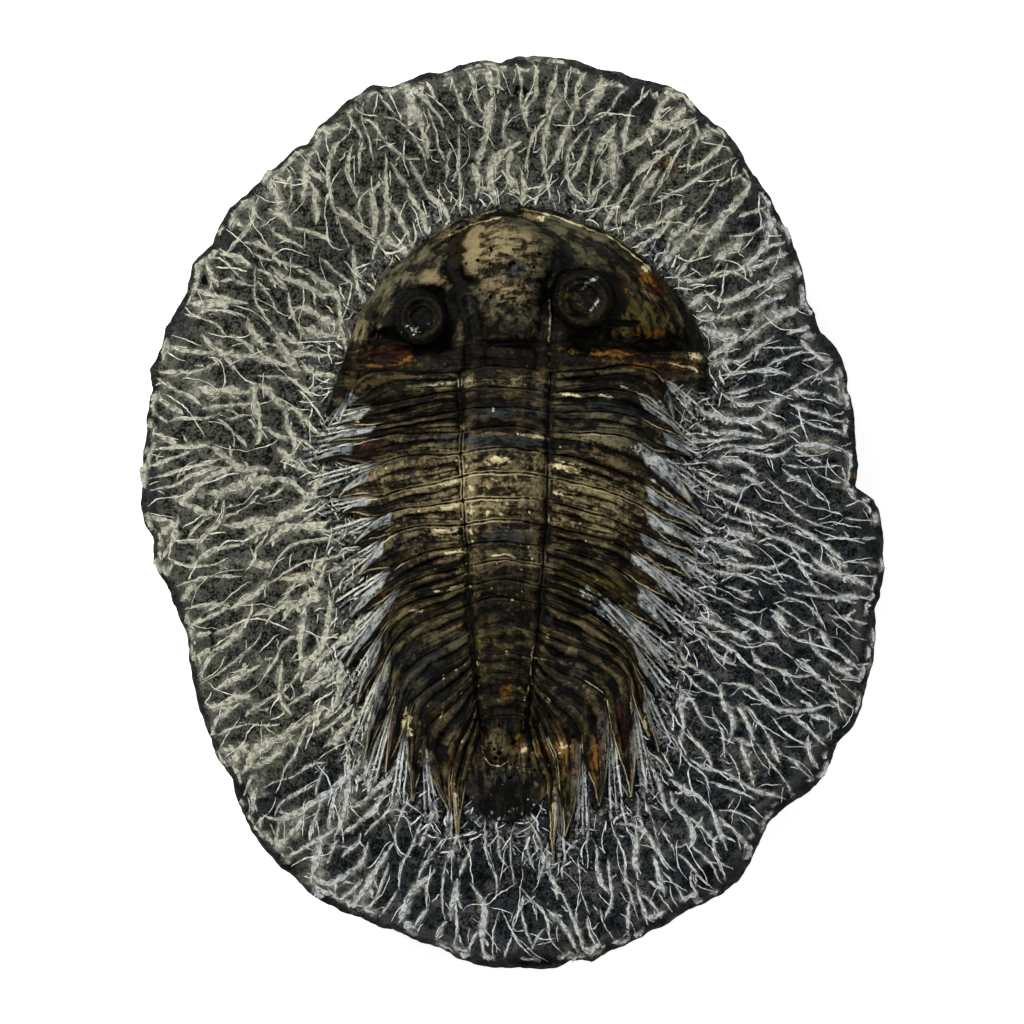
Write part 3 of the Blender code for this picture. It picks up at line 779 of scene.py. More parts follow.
@dataclass
class Marks:
    """The charts of the animal and of the rock, drawn from what the specimen shows."""

    shell: Chart = field(default_factory=Chart)
    rock: Chart = field(default_factory=Chart)
    shell_pit: float = 0.45  # depth
    vein: float = 0.06  # how far a cream vein stands proud
    wear: float = 0.09  # relief of a worn patch
    bulb: tuple = (1.75, 0.9)  # radius and height of the swelling on the tail
    lump: float = 0.3  # relief of the broken rock
    groove: float = 0.12  # depth of the stylus' cuts
    rock_pit: float = 0.5  # depth
    powder: float = 0.05  # how thick it lies

    def ovals(self, chart: Chart, table: tuple) -> None:
        """Draws ragged ovals from rows of ink, pixel, half sizes in pixels, turn and level."""
        for seed, (ink, px, py, wide, high, turn, level) in enumerate(table):
            size = (wide * PIXEL, high * PIXEL)
            chart.blot(ink, spot(px, py), size, turn, level, seed=seed + 11)

    def strokes(self, chart: Chart, table: tuple) -> None:
        """Draws uneven lines from rows of ink, half a width in pixels and pixels to pass."""
        rng = np.random.default_rng(5)
        for ink, width, pixels in table:
            line = np.array([spot(*p) for p in pixels])
            count = max(int(sum(abs(np.diff(line))) / 0.35), 2)
            at = np.linspace(0, len(line) - 1, count)
            fine = [np.interp(at, range(len(line)), part) for part in (line.real, line.imag)]
            fine = fine[0] + 1j * fine[1]
            fine = fine + (rng.normal(0, 0.04, count) + 1j * rng.normal(0, 0.04, count))
            widths = width * PIXEL * rng.uniform(0.6, 1.25, count)
            chart.line(ink, fine, widths)

    def specks(self, chart: Chart, ink: Ink, middle: tuple, reach: tuple, count: int,
               size: float) -> None:
        """Draws small round specks around a pixel.

        Args:
            chart: where to.
            ink: what they mark.
            middle: pixel in the middle of them.
            reach: half the width and height of their field, in pixels.
            count: how many.
            size: typical radius in pixels.
        """
        rng = np.random.default_rng(int(middle[0] * 7 + middle[1]))
        for _ in range(count):
            off = rng.normal(0.0, 0.5, 2) * reach
            place = spot(middle[0] + off[0], middle[1] + off[1])
            radius = size * PIXEL * rng.uniform(0.5, 1.4)
            chart.blot(ink, place, (radius, radius * rng.uniform(0.6, 1.0)), rng.uniform(0, 180))

    def shell_relief(self, x: Array, y: Array) -> Array:
        """Fine relief of the shell: grain, pits, veins that stand proud and worn patches."""
        z = 0.1 * rough(x, y, 1.1, 3) + 0.05 * rough(x, y, 0.35, 4, 2)
        z = z - self.shell_pit * soft_step(0.35, 0.8, self.shell.at(PIT, x, y))
        z = z + self.vein * soft_step(0.4, 0.7, self.shell.at(CREAM, x, y))
        worn = soft_step(0.35, 0.7, self.shell.at(TAN, x, y))
        z = z + worn * self.wear * rough(x, y, 0.5, 6, 3)
        bulb = abs(x + 1j * y - spot(497, 742)) / self.bulb[0]
        return z + self.bulb[1] * np.sqrt(np.maximum(1.0 - bulb**2, 0.0))

    def rock_relief(self, x: Array, y: Array) -> Array:
        """Fine relief of the rock: lumps, chips, and the grooves that the stylus cut."""
        z = self.lump * rough(x, y, 3.4, 21) + 0.12 * abs(rough(x, y, 1.2, 22, 3))
        groove = soft_step(0.25, 0.85, self.rock.at(STROKE, x, y))
        z = z - self.groove * groove * (1.0 + 0.6 * rough(x, y, 0.8, 23, 2))
        z = z - self.rock_pit * soft_step(0.35, 0.8, self.rock.at(PIT, x, y))
        return z + self.powder * soft_step(0.4, 0.8, self.rock.at(DUST, x, y))


def stamp(mesh: Mesh, name: str, values: Array) -> None:
    """Gives each point of a mesh a value that a material can read."""
    mesh.attributes.new(name, "FLOAT", "POINT").data.foreach_set("value", values.astype(np.float32))


def stamp_inks(mesh: Mesh, chart: Chart, fade: Values = 1.0) -> None:
    """Gives a mesh the levels of a chart's inks.

    Args:
        mesh: a finished mesh, in metres.
        chart: where the levels come from.
        fade: share of the level that each point keeps.
    """
    flat = np.empty(len(mesh.vertices) * 3, dtype=np.float32)
    mesh.vertices.foreach_get("co", flat)
    x, y = flat[0::3] / MM, flat[1::3] / MM
    for ink in chart.layers:
        stamp(mesh, ink.value, chart.at(ink, x, y) * fade)


def show(name: str, mesh: Mesh, material: Material) -> Object:
    """Puts a mesh in the scene with its material and smooth shading."""
    mesh.materials.clear()
    mesh.materials.append(material)
    mesh.shade_smooth()
    mesh.set_sharp_from_angle(angle=math.radians(62.0))
    obj = bpy.data.objects.new(name, mesh)
    bpy.context.collection.objects.link(obj)
    return obj


@dataclass
class Plate:
    """One plate of the animal as it is seen, in place of its plain solid."""

    name: str
    node: str
    sheets: list
    foot: float = FLOOR + GAP
    crest_reach: int = 5
    streak: float = 0.11

    def shape(self, marks: Marks) -> None:
        """Adds the fine relief and the streaks to the plate's sheets."""
        for sheet in self.sheets:
            streaks = rough(sheet.grain.real * 0.3, sheet.grain.imag * 2.2, 1.0, 91, 4)
            sheet.height = sheet.height + marks.shell_relief(sheet.place.real, sheet.place.imag)
            sheet.height = sheet.height + self.streak * streaks

    def fill(self, bm: bmesh.types.BMesh) -> None:
        """Adds the sheets to a bmesh, head end first and left to right.

        Args:
            bm: an empty bmesh, which gets the points, faces, crests and grain.
        """
        names = ("crest", "powder", "spine", "rim", "seam")
        layers = [bm.verts.layers.float.new(name) for name in names]
        grain = bm.verts.layers.float_vector.new("grain")
        for sheet in self.sheets:
            levels = {"crest": crest_of(sheet.height, self.crest_reach), **sheet.levels()}
            levels = np.stack([levels[name] for name in names], axis=2)
            rows = []
            for line in zip(sheet.place, sheet.height, sheet.grain, levels):
                row = []
                for p, z, way, values in zip(*(part.tolist() for part in line)):
                    vert = bm.verts.new((p.real * MM, p.imag * MM, z * MM))
                    vert[grain] = (way.real, way.imag, 0.0)
                    for layer, value in zip(layers, values):
                        vert[layer] = value
                    row.append(vert)
                rows.append(row)
            for ahead, behind in zip(rows, rows[1:]):
                for j in range(len(ahead) - 1):
                    bm.faces.new((ahead[j], behind[j], behind[j + 1], ahead[j + 1]))

    def build(self, marks: Marks, material: Material) -> Object:
        """Makes the plate a closed mesh with its minerals.

        Args:
            marks: the charts.
            material: the shell's finish.

        Returns:
            The plate's object, riding in place of its node.
        """
        bm = bmesh.new()
        self.fill(bm)
        if len(self.sheets) > 1:
            bmesh.ops.remove_doubles(bm, verts=bm.verts, dist=0.004 * MM)
        bmesh.ops.dissolve_degenerate(bm, edges=bm.edges, dist=0.002 * MM)
        rim = [e for e in bm.edges if e.is_boundary]
        made = bmesh.ops.extrude_edge_only(bm, edges=rim)["geom"]
        for item in made:
            if isinstance(item, bmesh.types.BMVert):
                item.co.z = self.foot * MM
        edges = [e for e in made if isinstance(e, bmesh.types.BMEdge) and e.is_boundary]
        bmesh.ops.edgeloop_fill(bm, edges=edges)
        bmesh.ops.recalc_face_normals(bm, faces=bm.faces)
        mesh = bpy.data.meshes.new(self.name)
        bm.to_mesh(mesh)
        bm.free()
        stamp_inks(mesh, marks.shell)
        plate = show(self.name, mesh, material)
        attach(plate, "root")
        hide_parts(self.node)
        return plate


SLAB_CUSPS = (
    -1.3+50.6j, -4.9+50.6j, -7.9+49.5j, -11.4+48.8j, -13.6+47.9j, -15.7+48.2j, -17.0+47.2j, -20.3+44.7j,
    -22.9+41.7j, -25.9+39.5j, -28.6+37.0j, -30.6+35.4j, -33.0+32.4j, -33.8+30.2j, -36.0+27.9j,
    -36.7+24.8j, -38.0+22.7j, -39.4+18.9j, -40.8+15.9j, -40.5+13.8j, -41.2+9.1j, -41.8+0.4j, -40.5-3.0j,
    -40.4-5.5j, -38.6-8.8j, -36.5-14.4j, -35.9-19.5j, -34.3-24.9j, -33.2-27.8j, -31.6-30.2j, -30.4-34.0j,
    -27.9-38.0j, -24.8-41.1j, -21.3-44.0j, -17.2-45.7j, -12.5-47.5j, -8.0-49.2j, -4.4-51.0j, 1.0-51.4j,
    5.4-51.3j, 6.5-50.6j, 9.0-50.7j, 11.3-49.4j, 15.0-47.6j, 18.9-45.5j, 21.3-44.4j, 25.4-41.8j,
    27.9-37.2j, 29.0-34.9j, 31.2-33.0j, 34.8-30.4j, 36.7-26.1j, 38.5-24.3j, 39.7-20.5j, 41.0-14.4j,
    40.8-11.0j, 41.6-9.4j, 41.8-3.8j, 41.5-0.1j, 40.7+1.4j, 38.8+2.8j, 38.8+8.0j, 37.9+13.9j, 37.1+17.5j,
    34.7+20.5j, 33.2+23.9j, 32.4+28.3j, 30.4+32.8j, 27.9+37.1j, 26.3+39.6j, 24.0+43.0j, 21.6+44.6j,
    19.5+47.2j, 15.0+48.6j, 9.6+49.9j, 5.7+51.1j, 2.6+51.4j,
)


@dataclass
class SlabForm:
    """The slab's broken edge and the rise and fall of its top."""

    hollow_centre: complex = -1.5j
    hollow_half: tuple = (26.0, 40.5)
    # Height along the way from the edge, 0, to the rim of the hollow's floor, 1.
    top_keys: tuple = ((0.0, 17.6), (0.14, 19.4), (0.34, 19.3), (0.56, 18.7), (0.78, 17.7),
                       (1.0, FLOOR))
    # Height above the base and share of the outline, down the side.
    side_keys: tuple = ((17.6, 0.997), (14.6, 1.0), (12.2, 0.985), (8.6, 0.955), (4.2, 0.945),
                        (0.8, 0.945), (0.0, 0.93))
    flute_span: float = 3.4
    flute_bow: float = 0.25

    def outline(self, count: int) -> Array:
        """Evenly spaced places round the broken edge, with its small chips.

        Args:
            count: how many.

        Returns:
            The places, anticlockwise from the head end.
        """
        corners = []
        for here, after in zip(SLAB_CUSPS, SLAB_CUSPS[1:] + SLAB_CUSPS[:1]):
            run = after - here
            corners.append(here)
            if abs(run) > self.flute_span:
                corners.append(here + run * 0.5 - 1j * unit(run) * self.flute_bow)
        ring = np.array([*corners, corners[0]])
        length = np.concatenate([[0.0], np.cumsum(abs(np.diff(ring)))])
        at = np.linspace(0.0, length[-1], count, endpoint=False)
        place = np.interp(at, length, ring.real) + 1j * np.interp(at, length, ring.imag)
        chips = 0.16 * (1.0 + rough(place.real, place.imag, 1.1, 61, 3))
        return place * (1.0 - chips / abs(place))

    def __post_init__(self) -> None:
        """Tabulates how far the edge and the hollow lie in each direction."""
        self.edge = self.table(self.outline(3000))
        turn = np.exp(1j * np.linspace(0.0, math.tau, 1500, endpoint=False))
        ellipse = turn.real * self.hollow_half[0] + 1j * turn.imag * self.hollow_half[1]
        self.hollow = self.table(ellipse + self.hollow_centre)

    def table(self, ring: Array) -> tuple:
        """Angles and distances of a closed ring, sorted by angle."""
        order = np.argsort(np.angle(ring))
        return np.angle(ring)[order], abs(ring)[order]

    def from_edge(self, x: Array, y: Array) -> Array:
        """How far inside the broken edge places lie."""
        place = x + 1j * y
        return np.interp(np.angle(place), *self.edge, period=math.tau) - abs(place)

    def top(self, x: Array, y: Array) -> Array:
        """Height of the slab's top without its finer relief."""
        place = x + 1j * y
        out = np.interp(np.angle(place), *self.edge, period=math.tau)
        floor = np.interp(np.angle(place), *self.hollow, period=math.tau)
        return along(self.top_keys, np.clip((out - abs(place)) / (out - floor), 0.0, 1.0))


class Level(Enum):
    """What the ground's chart holds: the rise over the slab, and the way to the nearest plate."""

    RISE = "rise"
    AWAY = "away"


@dataclass
class Ground:
    """The rock around and between the plates, which rises to meet their edges."""

    form: SlabForm
    chart: Chart = field(default_factory=lambda: Chart(cell=0.4))
    reach: int = 7  # cells around a plate in which the rock rises to it
    under: float = 0.32  # how far below a plate's edge the rock lies

    def settle(self, sheets: list) -> None:
        """Fits the rock to the plates.

        Args:
            sheets: every grid of every plate.
        """
        rows, columns, x, y = self.chart.window(complex(*(-h for h in self.chart.half)),
                                                complex(*self.chart.half))
        base = self.form.top(x + 0 * y, y + 0 * x)
        low = np.full(base.shape, np.inf)
        for sheet in sheets:
            j = ((sheet.place.real + self.chart.half[0]) / self.chart.cell).astype(int)
            i = ((sheet.place.imag + self.chart.half[1]) / self.chart.cell).astype(int)
            np.minimum.at(low, (i, j), sheet.height)
        shell = np.isfinite(low)
        steps = ((0, 1), (1, 0), (0, -1), (-1, 0))
        around = [np.roll(low, step, (0, 1)) for step in (*steps, (1, 1), (1, -1), (-1, 1), (-1, -1))]
        low = np.where(shell, np.minimum.reduce([low, *around]) - self.under, base)
        near = shell.copy()
        away = np.full(base.shape, 50.0)
        away[shell] = 0.0
        for step in range(1, 60):
            grown = near | np.logical_or.reduce([np.roll(near, s, (0, 1)) for s in steps])
            away[grown & ~near] = step * self.chart.cell * 0.9
            near = grown
        free = (away > 0.0) & (away < self.reach * self.chart.cell)
        for _ in range(500):
            mean = sum(np.roll(low, s, (0, 1)) for s in steps) / 4.0
            low[free] = mean[free]
        self.chart.layers[Level.RISE] = low - base
        self.chart.layers[Level.AWAY] = away

    def height(self, x: Array, y: Array) -> Array:
        """Height of the rock at places, without its finer relief."""
        return self.form.top(x, y) + self.chart.at(Level.RISE, x, y)

    def away(self, x: Array, y: Array) -> Array:
        """How far places lie from the nearest plate."""
        return self.chart.at(Level.AWAY, x, y)


@dataclass(frozen=True)
class Cut:
    """One pass of the stylus: places along it, and half its width at each."""

    line: Array
    widths: Array


# Where on the axis the cuts beside it spread from, for each height in the picture.
LEFT_MIDDLES = (
    (50, 36), (44, 20), (37, 8), (30, 1), (10, 0), (0, 6), (-10, 13), (-20, 20), (-30, 4), (-45, -10),
)
RIGHT_MIDDLES = (
    (50, 40), (44, 33), (37, 15), (25, 14), (10, 13), (0, 9), (-15, 4), (-25, 4), (-30, -2), (-45, -10),
)


@dataclass(frozen=True)
class Stylus:
    """How the preparer's air stylus crossed the rock: cuts that end where they meet another."""

    seed: int
    spacing: float  # between the places where a cut may start
    apart: float  # rock beside a cut in which no other one starts, times 1.5
    length: tuple
    half_width: tuple
    lean: float  # how far cuts turn off the way outwards, to either side, in degrees
    spread: float  # how much that varies
    wander: float  # how far a cut turns at each step, in degrees
    nearest: float  # closest start to a plate
    farthest: float
    rim: float = 0.15  # clear band along the broken edge
    step: float = 0.3
    fading: float = 0.5  # how much narrower the cuts are towards the tail end and the right
    skew: float = 0.0  # how much more they lean on the left, in degrees

    def outward(self, place: complex) -> complex:
        """The way from the animal's axis to the edge at a place, as the cuts there mostly run."""
        middles = RIGHT_MIDDLES if place.real > 0.0 else LEFT_MIDDLES
        return unit(place - 1j * float(along(middles, place.imag)))

    def walk(self, ground: Ground, used: Chart, rng: np.random.Generator, start: complex,
             way: complex, length: float) -> list:
        """The places of one cut from a start.

        Args:
            ground: the rock, which says where a cut must end.
            used: the cuts made so far.
            rng: the seeded source of chance.
            start: where it begins.
            way: where it heads.
            length: how long it may be.

        Returns:
            The places, the start first.
        """
        line, place, drift = [start], start, 0.0
        for _ in range(int(length / self.step)):
            drift = 0.5 * drift + math.radians(rng.normal(0.0, self.wander))
            way = way * np.exp(1j * drift)
            place = place + way * self.step
            x, y = np.array([place.real]), np.array([place.imag])
            if ground.form.from_edge(x, y)[0] < self.rim or ground.away(x, y)[0] < 0.1:
                break
            line.append(place)
            if used.at(STROKE, x, y)[0] > 0.75:
                break
        return line

    def cuts(self, ground: Ground, bare: Chart) -> list:
        """All cuts of this kind, spread evenly over the rock.

        Args:
            ground: the rock around the plates.
            bare: the chart of the rock, which shades the parts that have few cuts.

        Returns:
            The cuts.
        """
        rng = np.random.default_rng(self.seed)
        used = Chart(cell=0.2)
        x, y = np.meshgrid(np.arange(-43.0, 43.0, self.spacing), np.arange(-53.0, 53.0, self.spacing))
        x = (x + rng.uniform(0.0, self.spacing, x.shape)).ravel()
        y = (y + rng.uniform(0.0, self.spacing, y.shape)).ravel()
        away = ground.away(x, y)
        free = (ground.form.from_edge(x, y) > self.rim) & (away > self.nearest) & (away < self.farthest)
        free &= bare.at(SHADE, x, y) < rng.uniform(0.3, 1.1, x.shape)
        made = []
        for start in rng.permutation((x + 1j * y)[free]).tolist():
            if used.at(STROKE, np.array([start.real]), np.array([start.imag]))[0] > 0.25:
                continue
            lean = self.lean + self.skew * float(soft_step(8.0, 24.0, -start.real))
            turn = rng.choice([-1, 1]) * lean + rng.normal(0.0, self.spread)
            way = self.outward(start) * np.exp(1j * math.radians(turn))
            reach = rng.uniform(*self.length) * rng.uniform(0.3, 0.7)
            line = self.walk(ground, used, rng, start, -way, reach)[::-1]
            line += self.walk(ground, used, rng, start, way, reach)[1:]
            if len(line) < 4:
                continue
            wide = self.half_width[0] + np.ptp(self.half_width) * rng.uniform() ** 1.6
            wide *= 1.0 - self.fading * soft_step(-5.0, 60.0, start.real - 0.9 * start.imag)
            line = np.array(line)
            used.line(STROKE, line, np.full(len(line), self.apart))
            made.append(tapered(line, wide, rng))
        return made


def tapered(line: Array, width: float, rng: np.random.Generator) -> Cut:
    """A cut with thin ends and an uneven width.

    Args:
        line: places along it.
        width: half its width in its middle.
        rng: the seeded source of chance.

    Returns:
        The cut.
    """
    share = np.linspace(0.0, 1.0, len(line))
    taper = np.clip(np.minimum(share, 1.0 - share) * 5.0 + 0.2, 0.0, 1.0)
    uneven = np.interp(share, np.linspace(0.0, 1.0, 6), rng.uniform(0.5, 1.4, 6))
    stray = rng.normal(0.0, 0.025, len(line)) + 1j * rng.normal(0.0, 0.025, len(line))
    return Cut(line + stray, width * taper * uneven * rng.uniform(0.6, 1.35, len(line)))


def lips(cuts: list, half_width: float) -> list:
    """The sharp bright lips that a broad cut has along its sides.

    Args:
        cuts: broad cuts.
        half_width: half the width of a lip.

    Returns:
        The lips as cuts.
    """
    rng = np.random.default_rng(17)
    made = []
    for cut in cuts:
        across = 1j * unit(np.gradient(cut.line))
        for side in (-1, 1):
            first, last = np.sort(rng.integers(0, len(cut.line) + 1, 2))
            if last - first < 4:
                continue
            line = cut.line + across * side * cut.widths * 0.75
            made.append(tapered(line[first:last], half_width, rng))
    return made


def spurs(cuts: list, form: SlabForm) -> list:
    """The short barbs beside a broad cut, where the stylus skipped off it.

    Args:
        cuts: broad cuts.
        form: the slab's outline, which no barb crosses.

    Returns:
        The barbs as cuts.
    """
    rng = np.random.default_rng(19)
    made = []
    for cut in cuts:
        for n in rng.integers(1, len(cut.line) - 1, len(cut.line) // 11).tolist():
            turn = rng.choice([-1, 1]) * rng.uniform(20.0, 55.0) + rng.choice([0, 180])
            way = unit(cut.line[n + 1] - cut.line[n - 1]) * np.exp(1j * math.radians(turn))
            count = rng.integers(4, 9)
            line = cut.line[n] + way * np.cumsum(np.exp(1j * rng.normal(0.0, 0.3, count))) * 0.25
            if form.from_edge(line.real, line.imag).min() > 0.3:
                made.append(tapered(line, 0.04 + cut.widths[n] * rng.uniform(0.25, 0.6), rng))
    return made


@dataclass
class Slab:
    """The slab as it is seen, in place of its plain solid."""

    form: SlabForm
    ground: Ground
    columns: int = 900
    top_rows: int = 88
    side_rows: int = 14
    # The oval under the animal, where the fine rows end.
    core_centre: complex = -0.8 + 0j
    core_half: tuple = (11.0, 21.0)
    core_shares: tuple = (0.2, 0.5, 0.8)
    crest_reach: int = 3

    def top(self, marks: Marks) -> tuple:
        """The rings of the slab's top, from under the animal out to the rim.

        Args:
            marks: the charts, for the fine relief.

        Returns:
            The places and the heights, one row a ring.
        """
        rim = self.form.outline(self.columns) * self.form.side_keys[0][1]
        bearing = np.angle(rim.real / self.form.hollow_half[0] + 1j * rim.imag / self.form.hollow_half[1])
        core = np.cos(bearing) * self.core_half[0] + 1j * np.sin(bearing) * self.core_half[1]
        inner = self.core_centre + core * np.array(self.core_shares)[:, None]
        outer = np.linspace(0.0, 1.0, self.top_rows)[:, None]
        place = np.concatenate([inner, (core + self.core_centre) * (1.0 - outer) + rim * outer])
        x, y = place.real, place.imag
        clear = soft_step(0.0, 1.1, self.ground.away(x, y))
        relief = marks.rock_relief(x, y) * (0.25 + 0.75 * clear)
        height = self.ground.height(x, y) + relief - 0.12 * (1.0 - clear)
        height[: len(self.core_shares)] = FLOOR
        return place, height

    def side(self) -> tuple:
        """The rings of the broken side, from under the rim down to the flat base."""
        ring = self.form.outline(self.columns)
        heights = np.linspace(self.form.side_keys[0][0] - 0.5, 0.0, self.side_rows)[:, None]
        bearing = np.angle(ring) * 40.0
        grain = 0.75 * rough(bearing + 0 * heights, heights * 1.6 + 0 * bearing, 6.0, 71, 5)
        ledge = 0.5 * rough(bearing + 0 * heights, heights * 5.0 + 0 * bearing, 9.0, 72, 4)
        stray = (np.minimum(grain + ledge, 0.6) - 0.6) * soft_step(0.0, 1.5, heights)
        place = ring * along(self.form.side_keys, heights) + unit(ring) * stray
        return place, heights + 0 * stray

    def build(self, marks: Marks, material: Material) -> Object:
        """Makes the slab one closed mesh with its marks.

        Args:
            marks: the charts.
            material: the rock's finish.

        Returns:
            The slab's object, riding in place of its node.
        """
        place, height = self.top(marks)
        crest = crest_of(height, self.crest_reach, wrap=True)
        side_place, side_height = self.side()
        sides = len(side_place) * self.columns
        # Side points that stand out get a crest level, so they are painted paler as wear and painted
        # highlight.
        worn = crest_of(abs(side_place), 2, wrap=True) * 2.0
        place = np.concatenate([place, side_place])
        height = np.concatenate([height, side_height])
        rows, columns = place.shape
        at = np.arange(rows * columns).reshape(rows, columns)
        ring = [at[:-1], at[1:], np.roll(at, -1, 1)[1:], np.roll(at, -1, 1)[:-1]]
        faces = np.stack([part.ravel() for part in ring], axis=1).tolist()
        faces += [at[0].tolist(), at[-1][::-1].tolist()]
        points = np.stack([place.real.ravel(), place.imag.ravel(), height.ravel()], axis=1) * MM
        mesh = bpy.data.meshes.new("limestone_slab")
        mesh.from_pydata(points.tolist(), [], faces)
        on_top = np.ones(rows * columns)
        on_top[-sides:] = 0.0
        stamp_inks(mesh, marks.rock, on_top)
        stamp(mesh, "crest", np.concatenate([crest.ravel(), worn.ravel()]))
        stamp(mesh, "side", 1.0 - on_top)
        x, y = place.real.ravel(), place.imag.ravel()
        away = self.ground.away(x, y)
        loose = soft_step(0.1, 0.5, away) * (1.0 - soft_step(1.5, 7.0, away)) * on_top
        stamp(mesh, "loose", loose)
        slab = show("limestone_slab", mesh, material)
        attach(slab, "root")
        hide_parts("matrix")
        return slab


@dataclass
class Growth:
    """A Geometry Nodes tree with named inputs, used once on one object and then applied.

    knobs gives each input's kind, a socket's type without its "NodeSocket", and its value here.
    """

    name: str
    knobs: dict

    def __post_init__(self) -> None:
        """Makes the tree with its geometry sockets, its named inputs and its input node."""
        self.tree = bpy.data.node_groups.new(self.name, "GeometryNodeTree")
        self.values = {}
        sockets = self.tree.interface
        for way in ("OUTPUT", "INPUT"):
            sockets.new_socket("Geometry", in_out=way, socket_type="NodeSocketGeometry")
        for name, (kind, value) in self.knobs.items():
            socket = sockets.new_socket(name, in_out="INPUT", socket_type=f"NodeSocket{kind}")
            self.values[socket.identifier] = value
        self.start = add(self.tree, "NodeGroupInput", {}, {}).outputs

    def end(self, geometry: Node) -> None:
        """Makes the result real, gives it the material and hands it out."""
        real = add(self.tree, "GeometryNodeRealizeInstances", {}, {"Geometry": geometry})
        dressed = add(self.tree, "GeometryNodeSetMaterial", {},
                      {"Geometry": real, "Material": self.start["Material"]})
        add(self.tree, "NodeGroupOutput", {}, {"Geometry": dressed})

    def grow(self, source: Mesh) -> Object:
        """Runs the tree on a mesh and keeps what it makes as a plain piece that rides on the slab."""
        seed = bpy.data.objects.new(f"{self.name}_source", source)
        bpy.context.collection.objects.link(seed)
        modifier = seed.modifiers.new(self.name, "NODES")
        modifier.node_group = self.tree
        for identifier, value in self.values.items():
            modifier[identifier] = value
        seed.update_tag()
        view = bpy.context.evaluated_depsgraph_get()
        mesh = bpy.data.meshes.new_from_object(seed.evaluated_get(view))
        seed.modifiers.clear()
        bpy.data.objects.remove(seed)
        mesh.name = self.name
        piece = show(self.name, mesh, self.knobs["Material"][1])
        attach(piece, "root")
        return piece


@dataclass
class Scratches:
    """Lines of powder that the stylus left on the rock, as low ribbons."""

    slab: Object
    lift: float
    flat: float = 0.45
    above: float = 0.05  # metres over the base from which the lines are dropped on the rock

    def source(self, cuts: list) -> Mesh:
        """The scratches as bare lines with half their width at each point."""
        points, edges, widths = [], [], []
        for cut in cuts:
            first = len(points)
            points += [(p.real * MM, p.imag * MM, 0.0) for p in cut.line.tolist()]
            edges += [(i, i + 1) for i in range(first, len(points) - 1)]
            widths += (cut.widths * MM).tolist()
        mesh = bpy.data.meshes.new("scratch_lines")
        mesh.from_pydata(points, edges, [])
        stamp(mesh, "half_width", np.array(widths))
        return mesh

    def build(self, name: str, cuts: list, material: Material) -> Object:
        """Lays the lines on the rock and gives them their width.

        Args:
            name: the piece's name.
            cuts: where the stylus went.
            material: crushed stone.

        Returns:
            The piece.
        """
        growth = Growth(name, {"Rock": ("Object", self.slab), "Lift": ("Float", self.lift * MM),
                               "Flatness": ("Float", self.flat), "Material": ("Material", material)})
        tree, start = growth.tree, growth.start
        rock = add(tree, "GeometryNodeObjectInfo", {}, {"Object": start["Rock"]})
        place = add(tree, "GeometryNodeInputPosition", {}, {})
        above = add(tree, VECTOR, SUM, {0: place, 1: (0.0, 0.0, self.above)})
        ray = add(tree, "GeometryNodeRaycast", {},
                  {"Target Geometry": rock.outputs["Geometry"], "Source Position": above,
                   "Ray Direction": (0.0, 0.0, -1.0), "Ray Length": 2.0 * self.above})
        raised = add(tree, "ShaderNodeCombineXYZ", {}, {"Z": start["Lift"]})
        laid = add(tree, "GeometryNodeSetPosition", {},
                   {"Geometry": start["Geometry"], "Position": ray.outputs["Hit Position"],
                    "Offset": raised})
        curve = add(tree, "GeometryNodeMeshToCurve", {}, {"Mesh": laid})
        upright = add(tree, "GeometryNodeSetCurveNormal", {"mode": "Z_UP"}, {"Curve": curve})
        width = add(tree, "GeometryNodeInputNamedAttribute", FLOAT, {"Name": "half_width"})
        ring = add(tree, "GeometryNodeCurvePrimitiveCircle", {}, {"Resolution": 3, "Radius": 1.0})
        shape = add(tree, "ShaderNodeCombineXYZ", {}, {"X": 1.0, "Y": start["Flatness"], "Z": 1.0})
        oval = add(tree, "GeometryNodeTransform", {}, {"Geometry": ring.outputs["Curve"], "Scale": shape})
        ribbon = add(tree, "GeometryNodeCurveToMesh", {},
                     {"Curve": upright, "Profile Curve": oval, "Scale": width.outputs["Attribute"],
                      "Fill Caps": True})
        growth.end(ribbon)
        return growth.grow(self.source(cuts))


@dataclass
class Crumbs:
    """Loose crumbs of rock that the stylus left near the plates."""

    slab: Object
    density: float = 1.3e6  # a square metre
    radii: tuple = (0.05, 0.17)
    seed: int = 9

    def build(self, name: str, material: Material) -> Object:
        """Strews the crumbs over the slab where its rock is loose."""
        growth = Growth(name, {"Density": ("Float", self.density),
                               "Smallest": ("Float", self.radii[0] * MM),
                               "Largest": ("Float", self.radii[1] * MM),
                               "Seed": ("Int", self.seed), "Material": ("Material", material)})
        tree, start = growth.tree, growth.start
        loose = add(tree, "GeometryNodeInputNamedAttribute", FLOAT, {"Name": "loose"})
        dense = add(tree, MATH, PRODUCT, {0: loose.outputs["Attribute"], 1: start["Density"]})
        strewn = add(tree, "GeometryNodeDistributePointsOnFaces", {},
                     {"Mesh": start["Geometry"], "Density": dense, "Seed": start["Seed"]})
        stone = add(tree, "GeometryNodeMeshIcoSphere", {}, {"Radius": 1.0, "Subdivisions": 1})
        size = add(tree, "FunctionNodeRandomValue", FLOAT,
                   {2: start["Smallest"], 3: start["Largest"], "Seed": start["Seed"]})
        turn = add(tree, "FunctionNodeRandomValue", {"data_type": "FLOAT_VECTOR"},
                   {0: (0.0, 0.0, 0.0), 1: (math.tau, math.tau, math.tau), "Seed": start["Seed"]})
        placed = add(tree, "GeometryNodeInstanceOnPoints", {},
                     {"Points": strewn.outputs["Points"], "Instance": stone.outputs["Mesh"],
                      "Rotation": turn.outputs[0], "Scale": size.outputs[1]})
        growth.end(placed)
        return growth.grow(self.slab.data.copy())


